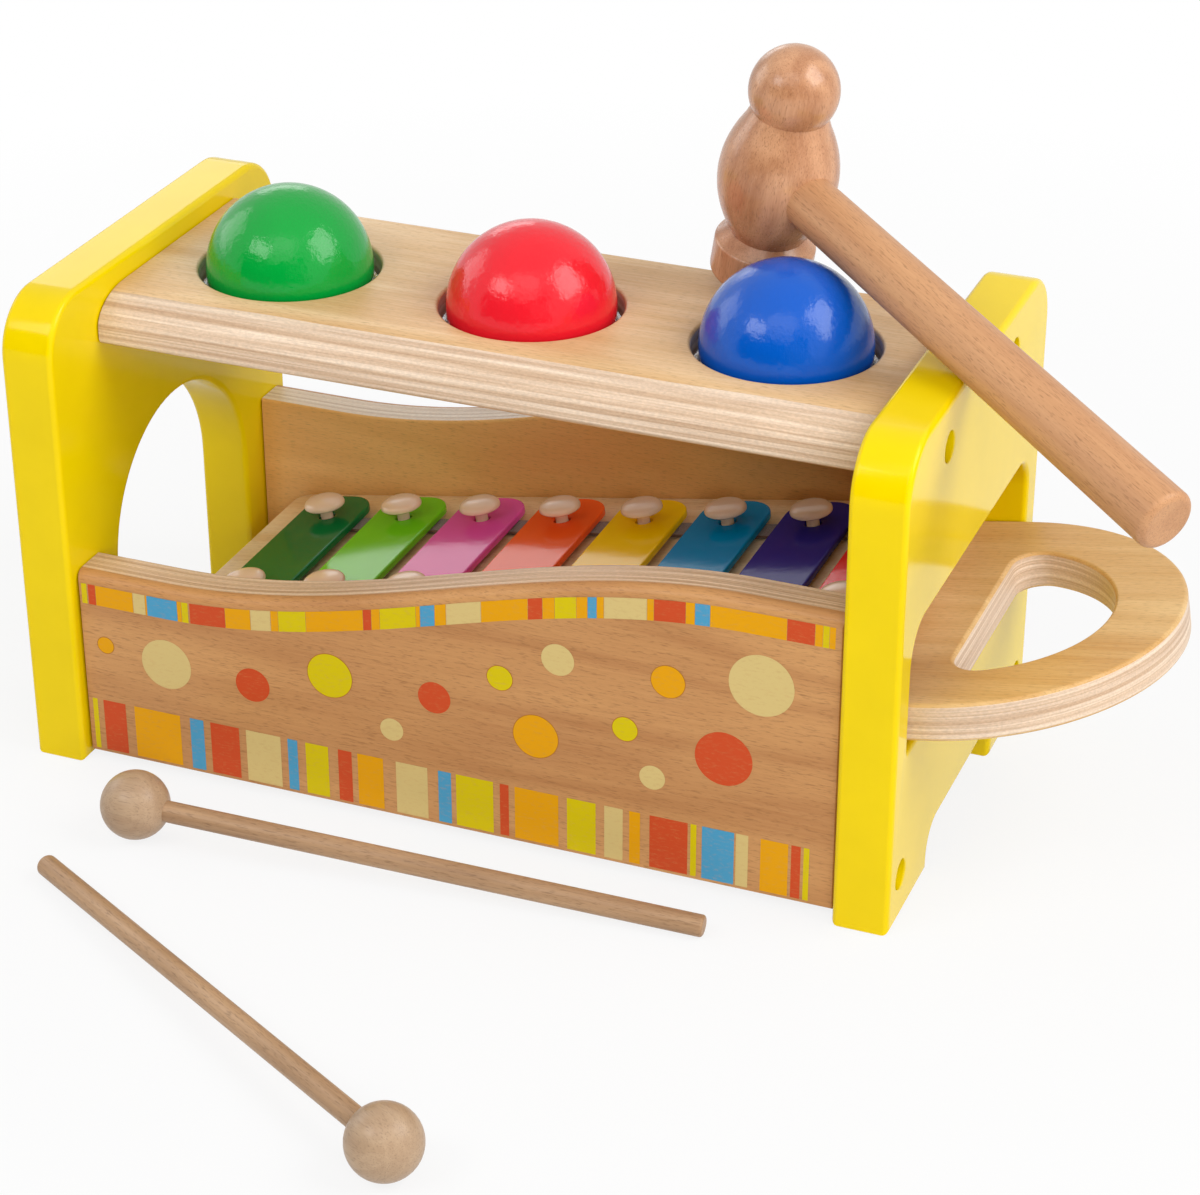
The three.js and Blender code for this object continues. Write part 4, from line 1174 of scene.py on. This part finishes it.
def hammer_handle_mesh():
    end, r = HAMMER_HANDLE_LENGTH, HAMMER_HANDLE_ROUND
    profile = [(0, -HAMMER_HANDLE_INSET), (HAMMER_HANDLE_RADIUS, -HAMMER_HANDLE_INSET),
               (HAMMER_HANDLE_RADIUS, HAMMER_BARREL_RADIUS)]
    profile += arc(HAMMER_HANDLE_END_RADIUS - r, end - r, r, 0, 90, steps=8) + [(0, end)]
    mesh = turned("hammer_handle", profile, steps=56, sharp=TURNED_SHARP_ANGLE)
    mesh.transform(Matrix.Rotation(math.pi / 2, 4, "Y"))
    return mesh


place = hammer_place()
dressed("hammer_head", hammer_head_mesh(), place, "hammer", "hammer_wood", head_look)
dressed("hammer_handle", hammer_handle_mesh(), place, "hammer", "hammer_wood", hammer_look)


# Mallets


def stick_mesh(name):
    end, r = MALLET_STICK_LENGTH, MALLET_STICK_ROUND
    profile = [(0, MALLET_STICK_START), (MALLET_STICK_RADIUS, MALLET_STICK_START)]
    profile += arc(MALLET_STICK_RADIUS - r, end - r, r, 0, 90, steps=5) + [(0, end)]
    mesh = turned(name, profile)
    mesh.transform(Matrix.Rotation(math.pi / 2, 4, "Y"))
    return mesh


for name, (x, ahead, heading) in MALLETS.items():
    dip = math.asin((MALLET_BALL_RADIUS - MALLET_STICK_RADIUS) / MALLET_STICK_LENGTH)
    turn = Matrix.Rotation(math.radians(heading), 4, "Z") @ Matrix.Rotation(dip, 4, "Y")
    place = bench(x, -HALF_DEPTH - ahead, MALLET_BALL_RADIUS) @ turn
    ball, stick = f"{name}_ball", f"{name}_stick"
    ball_shape = ball_mesh(ball, MALLET_BALL_RADIUS, steps=48)
    dressed(ball, ball_shape, place, name, "pale_wood", mallet_look)
    dressed(stick, stick_mesh(stick), place, name, "pale_wood", stick_look)

for node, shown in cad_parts.items():
    if node.startswith("dowel"):
        shown.data.materials.clear()
        shown.data.materials.append(stick_look)


# Stage: floor, world, lamps and camera


def camera_sees(nodes):
    """A value of 1 for what the camera sees, directly, mirrored or through something clear."""
    path = nodes.add("ShaderNodeLightPath").outputs
    seen = path["Is Camera Ray"]
    for name in ("Is Glossy Ray", "Is Transmission Ray"):
        seen = nodes.math("MAXIMUM", seen, path[name])
    return seen


# Floor, in metres: it glows white for the camera, a little less near the bench so that shadows show
FLOOR_HALF = 6
FLOOR_DROP = 0.0002
FLOOR_COLOUR = (0.72, 0.72, 0.72, 1)
FLOOR_GLOW = 0.84
GLOW_START = 0.15
GLOW_END = 0.6
WORLD_LIGHT = 0.36
FLAG_COLOUR = (0.03, 0.03, 0.03, 1)


def make_floor():
    bm = bmesh.new()
    bmesh.ops.create_grid(bm, x_segments=2, y_segments=2, size=FLOOR_HALF)
    mesh = stored("floor", bm)
    floor = linked("floor", mesh)
    floor.location.z = -FLOOR_DROP
    material = bpy.data.materials.new("floor_look")
    material.use_nodes = True
    nodes = Nodes(material.node_tree)
    nodes.tree.nodes.clear()
    spot = nodes.add("ShaderNodeTexCoord").outputs["Object"]
    away = nodes.add("ShaderNodeVectorMath", {0: spot}, operation="LENGTH").outputs["Value"]
    share = nodes.math("MULTIPLY", camera_sees(nodes), nodes.fit(away, GLOW_START, GLOW_END, FLOOR_GLOW, 1))
    paper = nodes.add("ShaderNodeBsdfDiffuse", {"Color": FLOOR_COLOUR}).outputs[0]
    glow = nodes.add("ShaderNodeEmission").outputs[0]
    mixed = nodes.add("ShaderNodeMixShader", {0: share, 1: paper, 2: glow}).outputs[0]
    nodes.add("ShaderNodeOutputMaterial", {"Surface": mixed})
    mesh.materials.append(material)


def make_world():
    world = bpy.data.worlds.new("studio")
    bpy.context.scene.world = world
    world.use_nodes = True
    nodes = Nodes(world.node_tree)
    background = world.node_tree.nodes["Background"]
    background.inputs["Color"].default_value = WHITE
    nodes.feed(background.inputs["Strength"], nodes.fit(camera_sees(nodes), 0, 1, WORLD_LIGHT, 1))


def make_flag(width=5, height=2.2, ahead=2.1):
    """A dark cloth far in front, so that gloss on the balls and the paint isn't washed out from there."""
    bm = bmesh.new()
    half = width / 2
    corners = [(-half, -ahead, 0), (half, -ahead, 0), (half, -ahead, height), (-half, -ahead, height)]
    bm.faces.new([bm.verts.new(corner) for corner in corners])
    mesh = stored("flag", bm)
    flag = linked("flag", mesh)
    flag.visible_camera = False
    mesh.materials.append(Look("flag_look", Base_Color=FLAG_COLOUR, Roughness=1).material)


def aim(shown, target, azimuth, elevation, distance):
    """Looks at a target from an angle round to the right of the front and one upward, in degrees."""
    turn, rise = math.radians(azimuth), math.radians(elevation)
    back = Vector((math.sin(turn) * math.cos(rise), -math.cos(turn) * math.cos(rise), math.sin(rise)))
    shown.location = target + back * distance
    shown.rotation_euler = back.to_track_quat("Z", "Y").to_euler()


# Softboxes: azimuth and elevation in degrees, distance, width and height in metres, power in watts
LAMPS = {
    "left": (-29, 40, 1.0, 0.45, 0.3, 2.4),
    "right": (90, 42, 1.0, 0.6, 0.6, 5.6),
    "front_right": (36, 18, 1.58, 0.9, 0.7, 10.5),
    "front_high": (13, 47, 1.54, 0.9, 0.9, 3.5),
    "left_side": (-95, 24, 1.1, 0.6, 0.6, 2.2),
    "back_left": (-147, 20, 1.2, 0.45, 0.3, 0.75),
}
# Lamps that leave no mirror image on glossy pieces
MATTE_LAMPS = {"front_right"}


def make_lamps():
    middle = bench(0, 0, BENCH_HEIGHT / 2).translation
    for name, (azimuth, elevation, distance, width, height, power) in LAMPS.items():
        data = bpy.data.lights.new(name, "AREA")
        data.shape = "RECTANGLE"
        data.size, data.size_y = width, height
        data.energy = power
        shown = linked(name, data)
        aim(shown, middle, azimuth, elevation, distance)
        shown.visible_camera = False
        shown.visible_glossy = name not in MATTE_LAMPS


# Place in metres, angles in degrees, lens and sensor in millimetres
CAMERA_TARGET = (-0.0119, 0.0700, 0.0449)
CAMERA_AZIMUTH = 21.70
CAMERA_ELEVATION = 28.35
CAMERA_DISTANCE = 0.874
CAMERA_LENS = 96.6
CAMERA_SENSOR = 36
CAMERA_CLIP = 0.01


def make_camera():
    data = bpy.data.cameras.new("camera")
    data.sensor_fit = "HORIZONTAL"
    data.sensor_width = CAMERA_SENSOR
    data.lens = CAMERA_LENS
    data.clip_start = CAMERA_CLIP
    shown = linked("camera", data)
    aim(shown, Vector(CAMERA_TARGET), CAMERA_AZIMUTH, CAMERA_ELEVATION, CAMERA_DISTANCE)
    bpy.context.scene.camera = shown


make_floor()
make_world()
make_flag()
make_lamps()
make_camera()
bpy.context.scene.view_settings.view_transform = "Standard"
